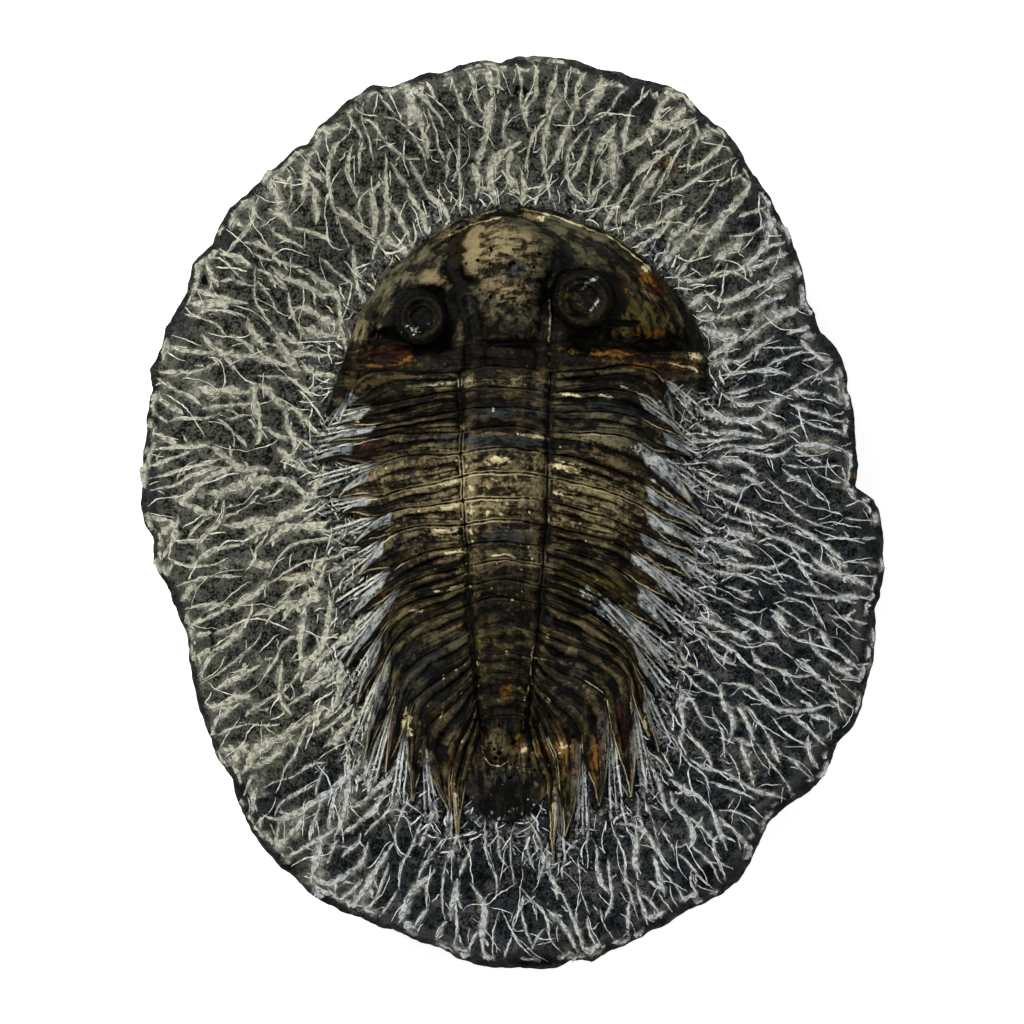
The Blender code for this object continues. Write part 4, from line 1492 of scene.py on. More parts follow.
@dataclass
class EyeLenses:
    """The lenses of one compound eye, in rows round the wall of its turret."""

    eye: Eye
    rows: int = 5
    across: int = 34
    radius: float = 0.13
    # The wall that sees, in degrees from the right; the inner side has none.
    span: tuple = (-60.0, 240.0)

    def source(self) -> Mesh:
        """The middles of the lenses."""
        points = []
        for row in range(self.rows):
            out = self.eye.radius - 0.18 + 0.13 * row
            height = FLOOR + float(self.eye.profile(np.array(out)))
            for k in range(self.across):
                share = (k + 0.5 * (row % 2)) / self.across
                turn = math.radians(self.span[0] + (self.span[1] - self.span[0]) * share)
                place = complex(strained(self.eye.centre + out * np.exp(1j * turn)))
                points.append((place.real * MM, place.imag * MM, height * MM))
        mesh = bpy.data.meshes.new("lens_middles")
        mesh.from_pydata(points, [], [])
        return mesh

    def build(self, name: str, material: Material) -> Object:
        """Sets a small ball at each middle."""
        growth = Growth(name, {"Radius": ("Float", self.radius * MM), "Material": ("Material", material)})
        tree, start = growth.tree, growth.start
        points = add(tree, "GeometryNodeMeshToPoints", {}, {"Mesh": start["Geometry"]})
        lens = add(tree, "GeometryNodeMeshIcoSphere", {}, {"Radius": start["Radius"], "Subdivisions": 2})
        placed = add(tree, "GeometryNodeInstanceOnPoints", {},
                     {"Points": points, "Instance": lens.outputs["Mesh"]})
        growth.end(placed)
        return growth.grow(self.source())


@dataclass(frozen=True)
class Coat:
    """One mineral or dust that lies where an attribute is high, with a ragged edge."""

    attribute: str
    pale: str
    dark: str
    ragged: float = 0.5
    soft: float = 0.06
    strength: float = 1.0
    roughness: float = 0.6
    level: float = 0.5


@dataclass(frozen=True)
class Finish:
    """What the stones share: coats laid one over another on a mottled ground."""

    name: str
    coats: tuple
    edge: tuple = (0.45, 5.0, 0.65)  # the raggedness of the coats' edges, as a row of grains

    def begin(self) -> tuple:
        """Makes the empty material.

        Returns:
            The material, its tree, and a node with the place in millimetres.
        """
        material = bpy.data.materials.new(self.name)
        material.use_nodes = True
        tree = material.node_tree
        tree.nodes.clear()
        where = add(tree, "ShaderNodeTexCoord", {}, {})
        place = add(tree, VECTOR, {"operation": "SCALE"},
                    {0: where.outputs["Object"], "Scale": 1.0 / MM})
        return material, tree, place

    def toward_right_and_tail(self, tree: NodeTree, place: Node) -> Node:
        """From 0 on the head end and left of the slab to 1 on its right and tail end."""
        split = add(tree, "ShaderNodeSeparateXYZ", {}, {0: place})
        across = add(tree, MATH, PRODUCT, {0: split.outputs["X"], 1: 0.016})
        down = add(tree, MATH, PRODUCT, {0: split.outputs["Y"], 1: -0.012})
        patch = add(tree, NOISE, {}, {"Vector": place, "Scale": 1.0 / 9.0, "Detail": 3.0})
        sum_of = add(tree, MATH, SUM, {0: add(tree, MATH, SUM, {0: across, 1: down}), 1: patch})
        return add(tree, RANGE, SMOOTH, {0: sum_of, 1: 0.35, 2: 0.75})

    def lay(self, tree: NodeTree, place: Node, colour: Node, rough_node: Node, tone: Node) -> tuple:
        """Lays every coat over a ground.

        Args:
            tree: the material's tree.
            place: the place in millimetres.
            colour: the ground's colour.
            rough_node: the ground's roughness.
            tone: the mottling within a coat, from 0 to 1; on the shell it also holds the painted light and
                shade of the crests.

        Returns:
            The nodes with the colour and the roughness, the coats on.
        """
        size, detail, roughness = self.edge
        edge = add(tree, NOISE, {}, {"Vector": place, "Scale": 1.0 / size, "Detail": detail,
                                     "Roughness": roughness})
        for coat in self.coats:
            stray = add(tree, RANGE, UNBOUND, {0: edge, 3: -coat.ragged, 4: coat.ragged})
            level = add(tree, READ, {"attribute_name": coat.attribute}, {}).outputs["Fac"]
            level = add(tree, MATH, SUM, {0: level, 1: stray})
            there = add(tree, RANGE, SMOOTH, {0: level, 1: coat.level - coat.soft,
                                              2: coat.level + coat.soft, 4: coat.strength})
            shade = add(tree, MIX, COLOUR, {0: tone, 6: linear(coat.dark), 7: linear(coat.pale)})
            colour = add(tree, MIX, COLOUR, {0: there, 6: colour, 7: shade})
            rough_node = add(tree, MIX, {}, {0: there, 2: rough_node, 3: coat.roughness})
        return colour, rough_node

    def finish(self, tree: NodeTree, colour: Node, rough_node: Node, relief: Node, depth: float,
               ior: float, gloss: float, glow: float = 0.0) -> None:
        """Ends the tree in a surface with bump.

        Args:
            tree: the material's tree.
            colour: its colour.
            rough_node: its roughness.
            relief: the bump's height, from 0 to 1.
            depth: the bump's depth in mm.
            ior: the mineral's index of refraction.
            gloss: how much of the typical reflection the surface keeps; 0.5 is all of it.
            glow: how brightly a lit surface shines of itself.
        """
        bump = add(tree, "ShaderNodeBump", {}, {"Height": relief, "Distance": depth * MM, "Strength": 1.0})
        surface = add(tree, "ShaderNodeBsdfPrincipled", {},
                      {"Base Color": colour, "Roughness": rough_node, "IOR": ior, "Normal": bump,
                       "Specular IOR Level": gloss, "Emission Strength": glow})
        add(tree, "ShaderNodeOutputMaterial", {}, {"Surface": surface})


@dataclass(frozen=True)
class AbradedLimestone(Finish):
    """Black limestone, crossed by the pale powdered cuts of an air stylus.

    Fine lime mud, black with carbon, gives the eye a dull surface without a highlight. Crushed, the
    same stone is nearly white, so every edge, bruise and cut shows pale.
    """

    name: str = "limestone_black_abraded"
    # Olive-grey on the head end and left, blue-black on the right and tail end. The blue-black is also much
    # darker: painted shade on the side away from the key light.
    warm: tuple = ("0c0d0a", "58584e")
    cold: tuple = ("020305", "2a3034")
    grey: tuple = ("0b0c0c", "4d4e4b")
    # Colour of raised points and ledges: partly wear, partly painted highlight.
    worn: str = "5c5d54"
    halo: str = "7f7f72"
    flank: tuple = ("0a0c0d", "3f403c")
    coats: tuple = (
        Coat("shade", "23282b", "020304", ragged=0.9, soft=0.2, strength=0.8, level=0.55),
        Coat("pit", "0a0b0b", "020303", ragged=0.6, roughness=0.5),
        Coat("amber", "7d5c24", "3f2a10", ragged=0.7),
        Coat("tan", "857a55", "423a28", ragged=0.7),
        Coat("loose", "8f9391", "3a3d3c", ragged=1.3, soft=0.1, strength=0.75, roughness=0.95, level=1.1),
        Coat("dust", "b6b9b6", "5c605e", ragged=0.9, soft=0.1, strength=0.9, roughness=0.95),
        Coat("stroke", "96968a", "55554b", ragged=0.8, soft=0.08, strength=0.8, roughness=0.95, level=0.45),
        Coat("cream", "d9cfa4", "a3966a", roughness=0.8),
    )
    # Size in mm, detail and roughness of the lumps, grit, patches, dusty film and bump. The real
    # grit is some 0.05 mm and would not show, so it is drawn coarser.
    grains: tuple = ((0.9, 5.0, 0.7), (0.28, 4.0, 0.6), (3.2, 6.0, 0.6), (1.2, 7.0, 0.75),
                     (0.4, 8.0, 0.75))
    bump: float = 0.25
    ior: float = 1.5
    gloss: float = 0.04

    def material(self) -> Material:
        """Dark rock with a dull, gritty grain, dusty beside the cuts, paler on raised points as wear and
        painted highlight.
        """
        material, tree, place = self.begin()
        lump, grit, patch, film, relief = (
            add(tree, NOISE, {}, {"Vector": place, "Scale": 1.0 / size, "Detail": detail,
                                  "Roughness": roughness})
            for size, detail, roughness in self.grains
        )
        side, crest, stroke = (
            add(tree, READ, {"attribute_name": name}, {}).outputs["Fac"]
            for name in ("side", "crest", "stroke")
        )
        grit = add(tree, RANGE, SMOOTH, {0: add(tree, MATH, SUM, {0: lump, 1: grit}), 1: 0.88, 2: 1.14})
        shades = [add(tree, MIX, COLOUR, {0: grit, 6: linear(dark), 7: linear(pale)})
                  for dark, pale in (self.warm, self.cold, self.flank, self.grey)]
        patch = add(tree, RANGE, SMOOTH, {0: patch, 1: 0.49, 2: 0.57, 4: 0.85})
        # Raised points take the worn colour: wear and painted highlight together.
        crest = add(tree, RANGE, SMOOTH, {0: crest, 1: 0.05, 2: 0.35, 4: 0.3})
        near = add(tree, RANGE, SMOOTH, {0: stroke, 1: -0.05, 2: 0.5, 4: 0.4})
        film = add(tree, RANGE, SMOOTH, {0: film, 1: 0.44, 2: 0.6})
        dusty = add(tree, MATH, PRODUCT, {0: near, 1: film})
        ground = shades[0]
        # Towards the right and tail end the rock is painted darker as well as bluer: painted shade.
        for there, shade in ((self.toward_right_and_tail(tree, place), shades[1]), (patch, shades[3]), (side, shades[2]),
                             (crest, linear(self.worn)), (dusty, linear(self.halo))):
            ground = add(tree, MIX, COLOUR, {0: there, 6: ground, 7: shade})
        dull = add(tree, RANGE, {}, {0: grit, 3: 0.62, 4: 0.85})
        colour, dull = self.lay(tree, place, ground, dull, film)
        self.finish(tree, colour, dull, relief, self.bump, self.ior, self.gloss)
        return material


@dataclass(frozen=True)
class StonePowder(Finish):
    """Limestone crushed to powder in a cut, cream on the left and white on the right.

    Its grains scatter all light, so it is the brightest and dullest thing on the slab.
    """

    name: str = "stone_powder_pale"
    warm: tuple = ("5e5e52", "bcbba7")
    cold: tuple = ("55595a", "b9bcb9")
    coats: tuple = ()
    size: float = 0.5  # mm; the real dust is far finer and would not show
    depth: float = 0.06
    ior: float = 1.5
    gloss: float = 0.04

    def material(self) -> Material:
        """A dull powder, mottled where the dark rock shows through."""
        material, tree, place = self.begin()
        grain = add(tree, NOISE, {}, {"Vector": place, "Scale": 1.0 / self.size, "Detail": 6.0,
                                      "Roughness": 0.75})
        tone = add(tree, RANGE, SMOOTH, {0: grain, 1: 0.36, 2: 0.6})
        shades = [add(tree, MIX, COLOUR, {0: tone, 6: linear(dark), 7: linear(pale)})
                  for dark, pale in (self.warm, self.cold)]
        colour = add(tree, MIX, COLOUR, {0: self.toward_right_and_tail(tree, place), 6: shades[0], 7: shades[1]})
        dull = add(tree, RANGE, {}, {0: tone, 3: 0.98, 4: 0.9})
        self.finish(tree, colour, dull, grain, self.depth, self.ior, self.gloss)
        return material


@dataclass(frozen=True)
class CalciteShell(Finish):
    """Fossil shell of dark calcite, stained by iron and worn to a glossy brown-black.

    Furrows are painted black and crests brown from how far each point stands above its neighbours, as
    painted shade and painted highlight, with a low polish where the preparer's powder has not dulled them.
    """

    name: str = "fossil_calcite_brown"
    # Near black: painted shade in the furrows, and the colour of the thin furrows filled with rock.
    deep: str = "020201"
    body: str = "1a160b"  # olive, stained iron-brown and blue-black
    rind: str = "c9bb90"
    powder: str = "bcc0bb"
    film: str = "6e7578"
    coats: tuple = (
        Coat("tan", "938560", "231b0e", ragged=1.0, soft=0.25, strength=0.85, roughness=0.55),
        Coat("slate", "5c5a45", "1b1b14", ragged=0.9, soft=0.35, strength=0.85, roughness=0.5),
        Coat("inky", "31383b", "03060a", ragged=0.9, soft=0.2, strength=0.85, roughness=0.4),
        Coat("shade", "0e0c07", "010100", ragged=0.7, soft=0.2, strength=0.95, roughness=0.4),
        Coat("olive", "4d451a", "0b0903", ragged=1.1, soft=0.25, strength=0.8, roughness=0.4),
        Coat("rust", "300e06", "0a0201", ragged=0.9, soft=0.15, strength=0.95, roughness=0.3),
        Coat("amber", "7c551d", "150b03", ragged=1.3, soft=0.35, strength=0.9, roughness=0.3),
        Coat("dust", "b9bcb8", "34393a", ragged=0.9, soft=0.1, strength=0.92, roughness=0.95),
        Coat("cream", "d8cca0", "6e6140", ragged=0.9, soft=0.08, roughness=0.6),
        Coat("pit", "060402", "010100", ragged=0.4, roughness=0.4),
    )
    # How often, in a mm along and across the grain, streaks, bands, flakes and thin lines turn up.
    runs: tuple = ((0.5, 3.2), (0.2, 0.9), (0.5, 1.5), (0.6, 5.0))
    # Detail and roughness of the streaks, bands and thin lines.
    drawn: tuple = ((8.0, 0.75), (4.0, 0.6), (5.0, 0.65))
    # Size in mm, detail and roughness of the grit and of the patches of another hue.
    grains: tuple = ((0.7, 9.0, 0.8), (4.0, 6.0, 0.65))
    # Where two stains begin and end on the hue's noise, and the steps from dark to pale: where each
    # begins and ends on the tone, its strength and its colour.
    # The tone carries the painted crest light, so the pale steps fall as painted highlight on crests.
    stains: tuple = ((0.5, 0.62, "231406"), (0.46, 0.36, "101518"))
    steps: tuple = ((1.52, 1.72, 0.9, "3d3520"), (1.68, 1.9, 0.8, "675d42"))
    bump: float = 0.1
    ior: float = 1.55
    gloss: float = 0.07

    def material(self) -> Material:
        """Streaked brown-black, with painted highlight on its crests and painted shade in its furrows, and
        a low gloss.
        """
        material, tree, place = self.begin()
        grain = add(tree, READ, {"attribute_name": "grain"}, {}).outputs["Vector"]
        crest, seam, rim, worn, free, held = (
            add(tree, READ, {"attribute_name": name}, {}).outputs["Fac"]
            for name in ("crest", "seam", "rim", "tan", "spine", "powder")
        )
        streak, band, flake, thin = (add(tree, VECTOR, PRODUCT, {0: grain, 1: (*run, 1.0)})
                                     for run in self.runs)
        rows = [(vector, 1.0, *row) for vector, row in zip((streak, band, thin), self.drawn)]
        rows += [(place, *row) for row in self.grains]
        streak, broad, thin, grit, hue = (
            add(tree, NOISE, {}, {"Vector": vector, "Scale": 1.0 / size, "Detail": detail,
                                  "Roughness": roughness})
            for vector, size, detail, roughness in rows
        )
        # The shell is cracked into flakes, each with a tone of its own.
        for stray in (hue, grit):
            flake = add(tree, VECTOR, SUM, {0: flake, 1: stray.outputs["Color"]})
        flake = add(tree, "ShaderNodeTexVoronoi", {}, {"Vector": flake, "Scale": 1.3})
        flake = add(tree, RANGE, {}, {0: flake.outputs["Color"], 1: 0.2, 2: 0.8, 3: -0.16, 4: 0.16})
        fine = add(tree, MATH, SUM, {0: add(tree, MATH, SUM, {0: streak, 1: grit}), 1: flake})
        # Painted highlight and shade: the crest level raises the tone on raised points and lowers it in
        # hollows.
        painted_crest_light = add(tree, MATH, PRODUCT, {0: crest, 1: 0.48})
        tone = add(tree, MATH, SUM, {0: add(tree, MATH, SUM, {0: fine, 1: broad}), 1: painted_crest_light})
        body = linear(self.body)
        for low, high, shade in self.stains:
            there = add(tree, RANGE, SMOOTH, {0: hue, 1: low, 2: high})
            body = add(tree, MIX, COLOUR, {0: there, 6: body, 7: linear(shade)})
        # Where the painted shade lowers the tone, the ground goes near black.
        there = add(tree, RANGE, SMOOTH, {0: tone, 1: 1.36, 2: 1.56})
        ground = add(tree, MIX, COLOUR, {0: there, 6: linear(self.deep), 7: body})
        for low, high, share, shade in self.steps:
            there = add(tree, RANGE, SMOOTH, {0: tone, 1: low, 2: high, 4: share})
            ground = add(tree, MIX, COLOUR, {0: there, 6: ground, 7: linear(shade)})
        gloss = add(tree, RANGE, {}, {0: grit, 1: 0.3, 2: 0.7, 3: 0.36, 4: 0.6})
        # The coats and the powder follow this tone too, so they carry the same painted highlight and shade.
        lit = add(tree, RANGE, SMOOTH, {0: tone, 1: 1.36, 2: 1.7})
        colour, gloss = self.lay(tree, place, ground, gloss, lit)
        # Thin furrows run along the ribs, black with the rock that fills them.
        seam = add(tree, MATH, SUM, {0: seam, 1: add(tree, RANGE, UNBOUND, {0: grit, 3: -0.25, 4: 0.25})})
        seam = add(tree, RANGE, SMOOTH, {0: seam, 1: 0.15, 2: 0.04})
        kept = add(tree, RANGE, SMOOTH, {0: broad, 1: 0.38, 2: 0.5, 4: 0.9})
        seam = add(tree, MATH, PRODUCT, {0: seam, 1: kept})
        # Broken edges of the shell show as thin cream outlines where it is worn tan and on spines.
        rim = add(tree, MATH, SUM, {0: rim, 1: add(tree, RANGE, UNBOUND, {0: grit, 3: -0.35, 4: 0.35})})
        rise = add(tree, RANGE, SMOOTH, {0: rim, 1: 0.08, 2: 0.13})
        fall = add(tree, RANGE, SMOOTH, {0: rim, 1: 0.26, 2: 0.18})
        worn = add(tree, RANGE, SMOOTH, {0: worn, 1: 0.3, 2: 0.65, 3: 0.02, 4: 0.85})
        patchy = add(tree, RANGE, SMOOTH, {0: broad, 1: 0.42, 2: 0.56})
        free = add(tree, MATH, PRODUCT, {0: free, 1: patchy})
        worn = add(tree, MATH, {"operation": "MAXIMUM"}, {0: worn, 1: free})
        line = add(tree, MATH, PRODUCT, {0: add(tree, MATH, PRODUCT, {0: rise, 1: fall}), 1: worn})
        # The spines' outer ends keep streaks of the preparer's powder.
        patchy = add(tree, RANGE, SMOOTH, {0: add(tree, MATH, SUM, {0: thin, 1: grit}), 1: 0.9, 2: 1.0})
        powder = add(tree, MATH, PRODUCT, {0: held, 1: patchy})
        dusted = add(tree, MIX, COLOUR, {0: lit, 6: linear(self.film), 7: linear(self.powder)})
        for there, shade in ((seam, linear(self.deep)), (line, linear(self.rind)), (powder, dusted)):
            colour = add(tree, MIX, COLOUR, {0: there, 6: colour, 7: shade})
        gloss = add(tree, MIX, {}, {0: powder, 2: gloss, 3: 0.95})
        self.finish(tree, colour, gloss, fine, self.bump, self.ior, self.gloss)
        return material


@dataclass(frozen=True, kw_only=True)
class Plain(Finish):
    """A finish with two mixed tones and no coats."""

    pale: str
    dark: str
    coats: tuple = ()
    size: float = 0.4
    roughness: float = 0.95
    depth: float = 0.05
    ior: float = 1.5
    gloss: float = 0.15
    glow: float = 0.0

    def material(self) -> Material:
        """Two tones mottled at one size, with a fine bump."""
        material, tree, place = self.begin()
        tone = add(tree, NOISE, {}, {"Vector": place, "Scale": 1.0 / self.size, "Detail": 4.0})
        shade = add(tree, RANGE, SMOOTH, {0: tone, 1: 0.35, 2: 0.65})
        colour = add(tree, MIX, COLOUR, {0: shade, 6: linear(self.dark), 7: linear(self.pale)})
        dull = add(tree, RANGE, {}, {0: tone, 3: self.roughness - 0.05, 4: self.roughness + 0.05})
        self.finish(tree, colour, dull, tone, self.depth, self.ior, self.gloss, self.glow)
        return material


@dataclass(frozen=True)
class Studio:
    """A white floor, soft light from above and the camera straight over the slab."""

    span: float = PHOTO_SIDE * PIXEL * MM  # what the frame covers
    focus: float = 18.5 * MM
    distance: float = 1.6
    sensor: float = 36.0
    floor: float = 3.0
    key: float = 10.5
    fill: float = 1.5
    world: float = 0.5

    def light(self, name: str, place: tuple, size: float, power: float) -> Object:
        """A square area light that faces the slab.

        Args:
            name: its name.
            place: where it hangs, in metres.
            size: the length of its side in metres.
            power: in watts.

        Returns:
            The light.
        """
        data = bpy.data.lights.new(name, "AREA")
        data.size, data.energy = size, power
        lamp = bpy.data.objects.new(name, data)
        lamp.location = place
        lamp.rotation_euler = (-Vector(place)).to_track_quat("-Z", "Y").to_euler()
        bpy.context.collection.objects.link(lamp)
        return lamp

    def build(self, floor_material: Material) -> None:
        """Sets up the floor, lights, sky and camera."""
        mesh = bpy.data.meshes.new("studio_floor")
        half = self.floor / 2
        mesh.from_pydata([(-half, -half, 0), (half, -half, 0), (half, half, 0), (-half, half, 0)],
                         [], [(0, 1, 2, 3)])
        floor = show("studio_floor", mesh, floor_material)
        lamps = [
            self.light("key_light", (-0.5, 0.55, 0.8), 0.5, self.key),
            self.light("fill_light", (0.7, -0.3, 0.9), 0.8, self.fill),
        ]
        camera_data = bpy.data.cameras.new("camera")
        camera_data.sensor_width = self.sensor
        camera_data.lens = self.sensor * self.distance / self.span
        camera = bpy.data.objects.new("camera", camera_data)
        middle = spot((PHOTO_SIDE - 1) / 2, (PHOTO_SIDE - 1) / 2) * MM
        camera.location = (middle.real, middle.imag, self.focus + self.distance)
        bpy.context.collection.objects.link(camera)
        scene = bpy.context.scene
        scene.camera = camera
        world = bpy.data.worlds.new("studio")
        world.use_nodes = True
        sky = world.node_tree.nodes["Background"]
        sky.inputs["Color"].default_value = (1.0, 1.0, 1.0, 1.0)
        sky.inputs["Strength"].default_value = self.world
        scene.world = world
        scene.view_settings.view_transform = "Standard"


# Wide tints of the shell: ink, pixel of the middle, half its width and height in pixels, turn of the
# width from the right in degrees, level.
SHELL_TINTS = (
    (TAN, 475, 490, 85, 46, 0, 0.78), (TAN, 520, 560, 60, 26, 0, 0.55), (TAN, 495, 250, 38, 24, 0, 1.1),
    (TAN, 500, 291, 22, 15, 0, 0.85), (TAN, 392, 300, 30, 45, 60, 0.52),
    (TAN, 430, 240, 50, 14, 25, 0.66), (SLATE, 385, 300, 30, 50, 60, 1.15),
    (SLATE, 415, 262, 40, 16, 35, 0.8), (SLATE, 574, 238, 52, 17, -22, 1.05),
    (SLATE, 546, 280, 13, 42, 0, 0.85), (SLATE, 478, 300, 20, 16, 0, 0.9),
    (SLATE, 520, 322, 34, 12, 0, 0.6), (SLATE, 595, 338, 50, 5, -3, 1),
    (SLATE, 620, 262, 24, 20, -30, 0.7), (SLATE, 600, 425, 50, 16, -18, 0.8),
    (SLATE, 430, 660, 60, 40, 45, 0.5), (TAN, 600, 500, 70, 24, -20, 0.58),
    (TAN, 590, 433, 46, 16, -20, 0.58), (TAN, 460, 382, 44, 5, 5, 0.7), (TAN, 522, 382, 28, 5, 0, 0.75),
    (OLIVE, 642, 316, 22, 18, 0, 0.95), (OLIVE, 380, 378, 40, 9, 10, 0.7),
    (OLIVE, 578, 303, 15, 16, 0, 0.75), (OLIVE, 590, 580, 30, 12, -10, 0.8),
    (OLIVE, 470, 640, 90, 50, 0, 0.42), (TAN, 540, 748, 34, 9, 0, 0.9),
    (OLIVE, 545, 775, 16, 14, 0, 0.75), (SHADE, 535, 352, 160, 13, 3, 1.3),
    (SHADE, 508, 602, 50, 40, 0, 0.85), (SHADE, 508, 690, 120, 70, 0, 0.66),
    (SHADE, 420, 317, 23, 23, 0, 2.4), (SHADE, 581, 298, 28, 28, 0, 2.4), (SHADE, 655, 348, 30, 10, 0, 1),
    (SHADE, 500, 332, 50, 10, 0, 0.7), (SHADE, 462, 300, 5, 44, 0, 0.8),
    (SHADE, 640, 262, 26, 9, -38, 0.75), (SHADE, 600, 590, 70, 30, -25, 0.6),
    (SHADE, 505, 800, 34, 22, 0, 0.9), (SHADE, 440, 410, 110, 14, 3, 0.6),
    (SHADE, 620, 400, 60, 12, -20, 0.7), (SHADE, 540, 424, 90, 10, 0, 0.6),
    (INKY, 495, 441, 60, 6, -2, 1), (INKY, 600, 405, 70, 8, -15, 0.8), (INKY, 500, 412, 60, 8, 0, 0.75),
    (INKY, 505, 536, 26, 6, 0, 0.9), (INKY, 508, 792, 32, 26, 0, 0.95),
    (INKY, 430, 672, 44, 22, 50, 0.85), (INKY, 514, 268, 13, 10, 0, 1), (INKY, 560, 690, 50, 40, 0, 0.62),
    (INKY, 400, 700, 60, 40, 45, 0.6),
)

# Single marks of the shell, in the same columns.
SHELL_SPOTS = (
    (TAN, 424, 279, 13, 9, 35, 1), (TAN, 482, 253, 16, 9, 20, 1), (TAN, 522, 244, 16, 11, 0, 1),
    (TAN, 506, 290, 12, 12, 0, 0.95), (CREAM, 534, 217, 11, 3, -10, 1), (CREAM, 646, 268, 4, 4, 0, 1),
    (TAN, 592, 241, 9, 3.5, 10, 0.95), (SHADE, 470, 281, 16, 6, -25, 0.85),
    (SHADE, 508, 270, 4, 8, 10, 0.7), (RUST, 384, 354, 19, 9, -5, 1.1), (TAN, 357, 347, 5, 4, 0, 0.95),
    (PIT, 385, 332, 11, 7, 20, 0.9), (RUST, 652, 282, 8, 16, 40, 1), (AMBER, 646, 277, 4, 9, 35, 1),
    (TAN, 650, 294, 8, 4, -35, 1.1), (RUST, 621, 294, 6, 8, 0, 0.9), (AMBER, 622, 292, 4, 5, 0, 0.8),
    (RUST, 664, 306, 5, 3, -40, 1.1), (OLIVE, 640, 310, 12, 12, 0, 0.6),
    (AMBER, 649, 333, 14, 3.4, 2, 1.25), (TAN, 623, 335, 11, 4, 0, 1), (PIT, 620, 323, 18, 4, 0, 0.95),
    (PIT, 655, 347, 24, 6, 0, 0.95), (AMBER, 605, 353, 32, 3, -4, 0.85),
    (AMBER, 655, 364, 38, 4, -2, 0.85), (CREAM, 694, 356, 9, 3, 0, 0.9),
    (CREAM, 450, 481, 12, 3.5, 5, 0.95), (CREAM, 455, 508, 14, 4, 5, 0.95),
    (CREAM, 442, 531, 16, 4, 5, 0.85), (CREAM, 455, 552, 12, 3, 10, 0.8),
    (TAN, 566, 520, 20, 5, -5, 0.95), (TAN, 600, 528, 30, 5, -8, 0.9), (DUST, 632, 628, 48, 8, -38, 1.1),
    (DUST, 669, 460, 28, 7, -20, 1.1), (DUST, 672, 420, 26, 4, -48, 1), (DUST, 640, 640, 40, 4, -38, 1),
    (CREAM, 567, 467, 16, 4, -5, 0.85), (CREAM, 563, 491, 12, 4, -5, 0.85),
    (CREAM, 496, 459, 13, 4, 0, 0.9), (CREAM, 515, 477, 2, 3, 0, 1), (CREAM, 512, 495, 2.2, 2.2, 0, 1),
    (CREAM, 463, 428, 3, 3, 0, 0.9), (CREAM, 465, 465, 3, 3, 0, 0.9), (CREAM, 470, 487, 3, 3, 0, 0.9),
    (CREAM, 470, 512, 3, 3, 0, 0.9), (CREAM, 470, 530, 3, 3, 0, 0.9), (CREAM, 570, 395, 9, 1.6, -10, 1),
    (CREAM, 608, 397, 9, 1.6, -10, 1), (CREAM, 533, 436, 16, 1.6, -10, 1),
    (CREAM, 436, 591, 4, 1.2, 0, 1), (CREAM, 456, 587, 8, 2, 20, 1), (CREAM, 415, 610, 5, 1.5, 0, 1),
    (AMBER, 685, 490, 5, 17, 25, 1), (CREAM, 686, 490, 3, 12, 25, 1), (RUST, 355, 448, 38, 8, 5, 0.85),
    (CREAM, 357, 418, 4, 3, 0, 0.9), (RUST, 392, 730, 6, 30, 10, 0.7), (CREAM, 407, 724, 4, 11, 5, 0.95),
    (DUST, 404, 770, 4, 20, 5, 0.95), (DUST, 425, 772, 4, 26, 5, 0.95), (TAN, 412, 809, 9, 12, 0, 1.3),
    (AMBER, 435, 780, 3, 12, 0, 0.9), (AMBER, 452, 792, 3, 12, 0, 0.9), (TAN, 453, 815, 9, 16, 0, 1.3),
    (CREAM, 457, 812, 2.5, 26, 8, 0.85), (CREAM, 554, 815, 2.5, 34, -4, 0.9),
    (TAN, 551, 822, 6, 10, 0, 1.1), (TAN, 497, 742, 13, 13, 0, 0.72), (CREAM, 525, 749, 7, 2.5, 15, 0.72),
    (CREAM, 562, 746, 6, 4, 0, 0.72), (TAN, 562, 748, 12, 10, 0, 0.9), (SHADE, 601, 772, 3.5, 26, 3, 1),
    (AMBER, 516, 742, 4, 8, 0, 0.95), (AMBER, 542, 750, 6, 5, 0, 0.95), (AMBER, 565, 752, 7, 17, 20, 0.9),
    (RUST, 648, 700, 8, 45, 12, 0.75), (CREAM, 646, 732, 2.5, 18, 10, 0.8),
    (RUST, 622, 728, 7, 22, 8, 0.95), (SHADE, 622, 705, 8, 12, 8, 0.9), (AMBER, 632, 777, 3, 18, 5, 0.85),
    (AMBER, 595, 760, 3.5, 22, 5, 0.85), (RUST, 599, 752, 3, 14, 5, 0.9),
    (OLIVE, 567, 797, 6, 36, 5, 0.8), (AMBER, 506, 690, 6, 10, 0, 0.8),
)

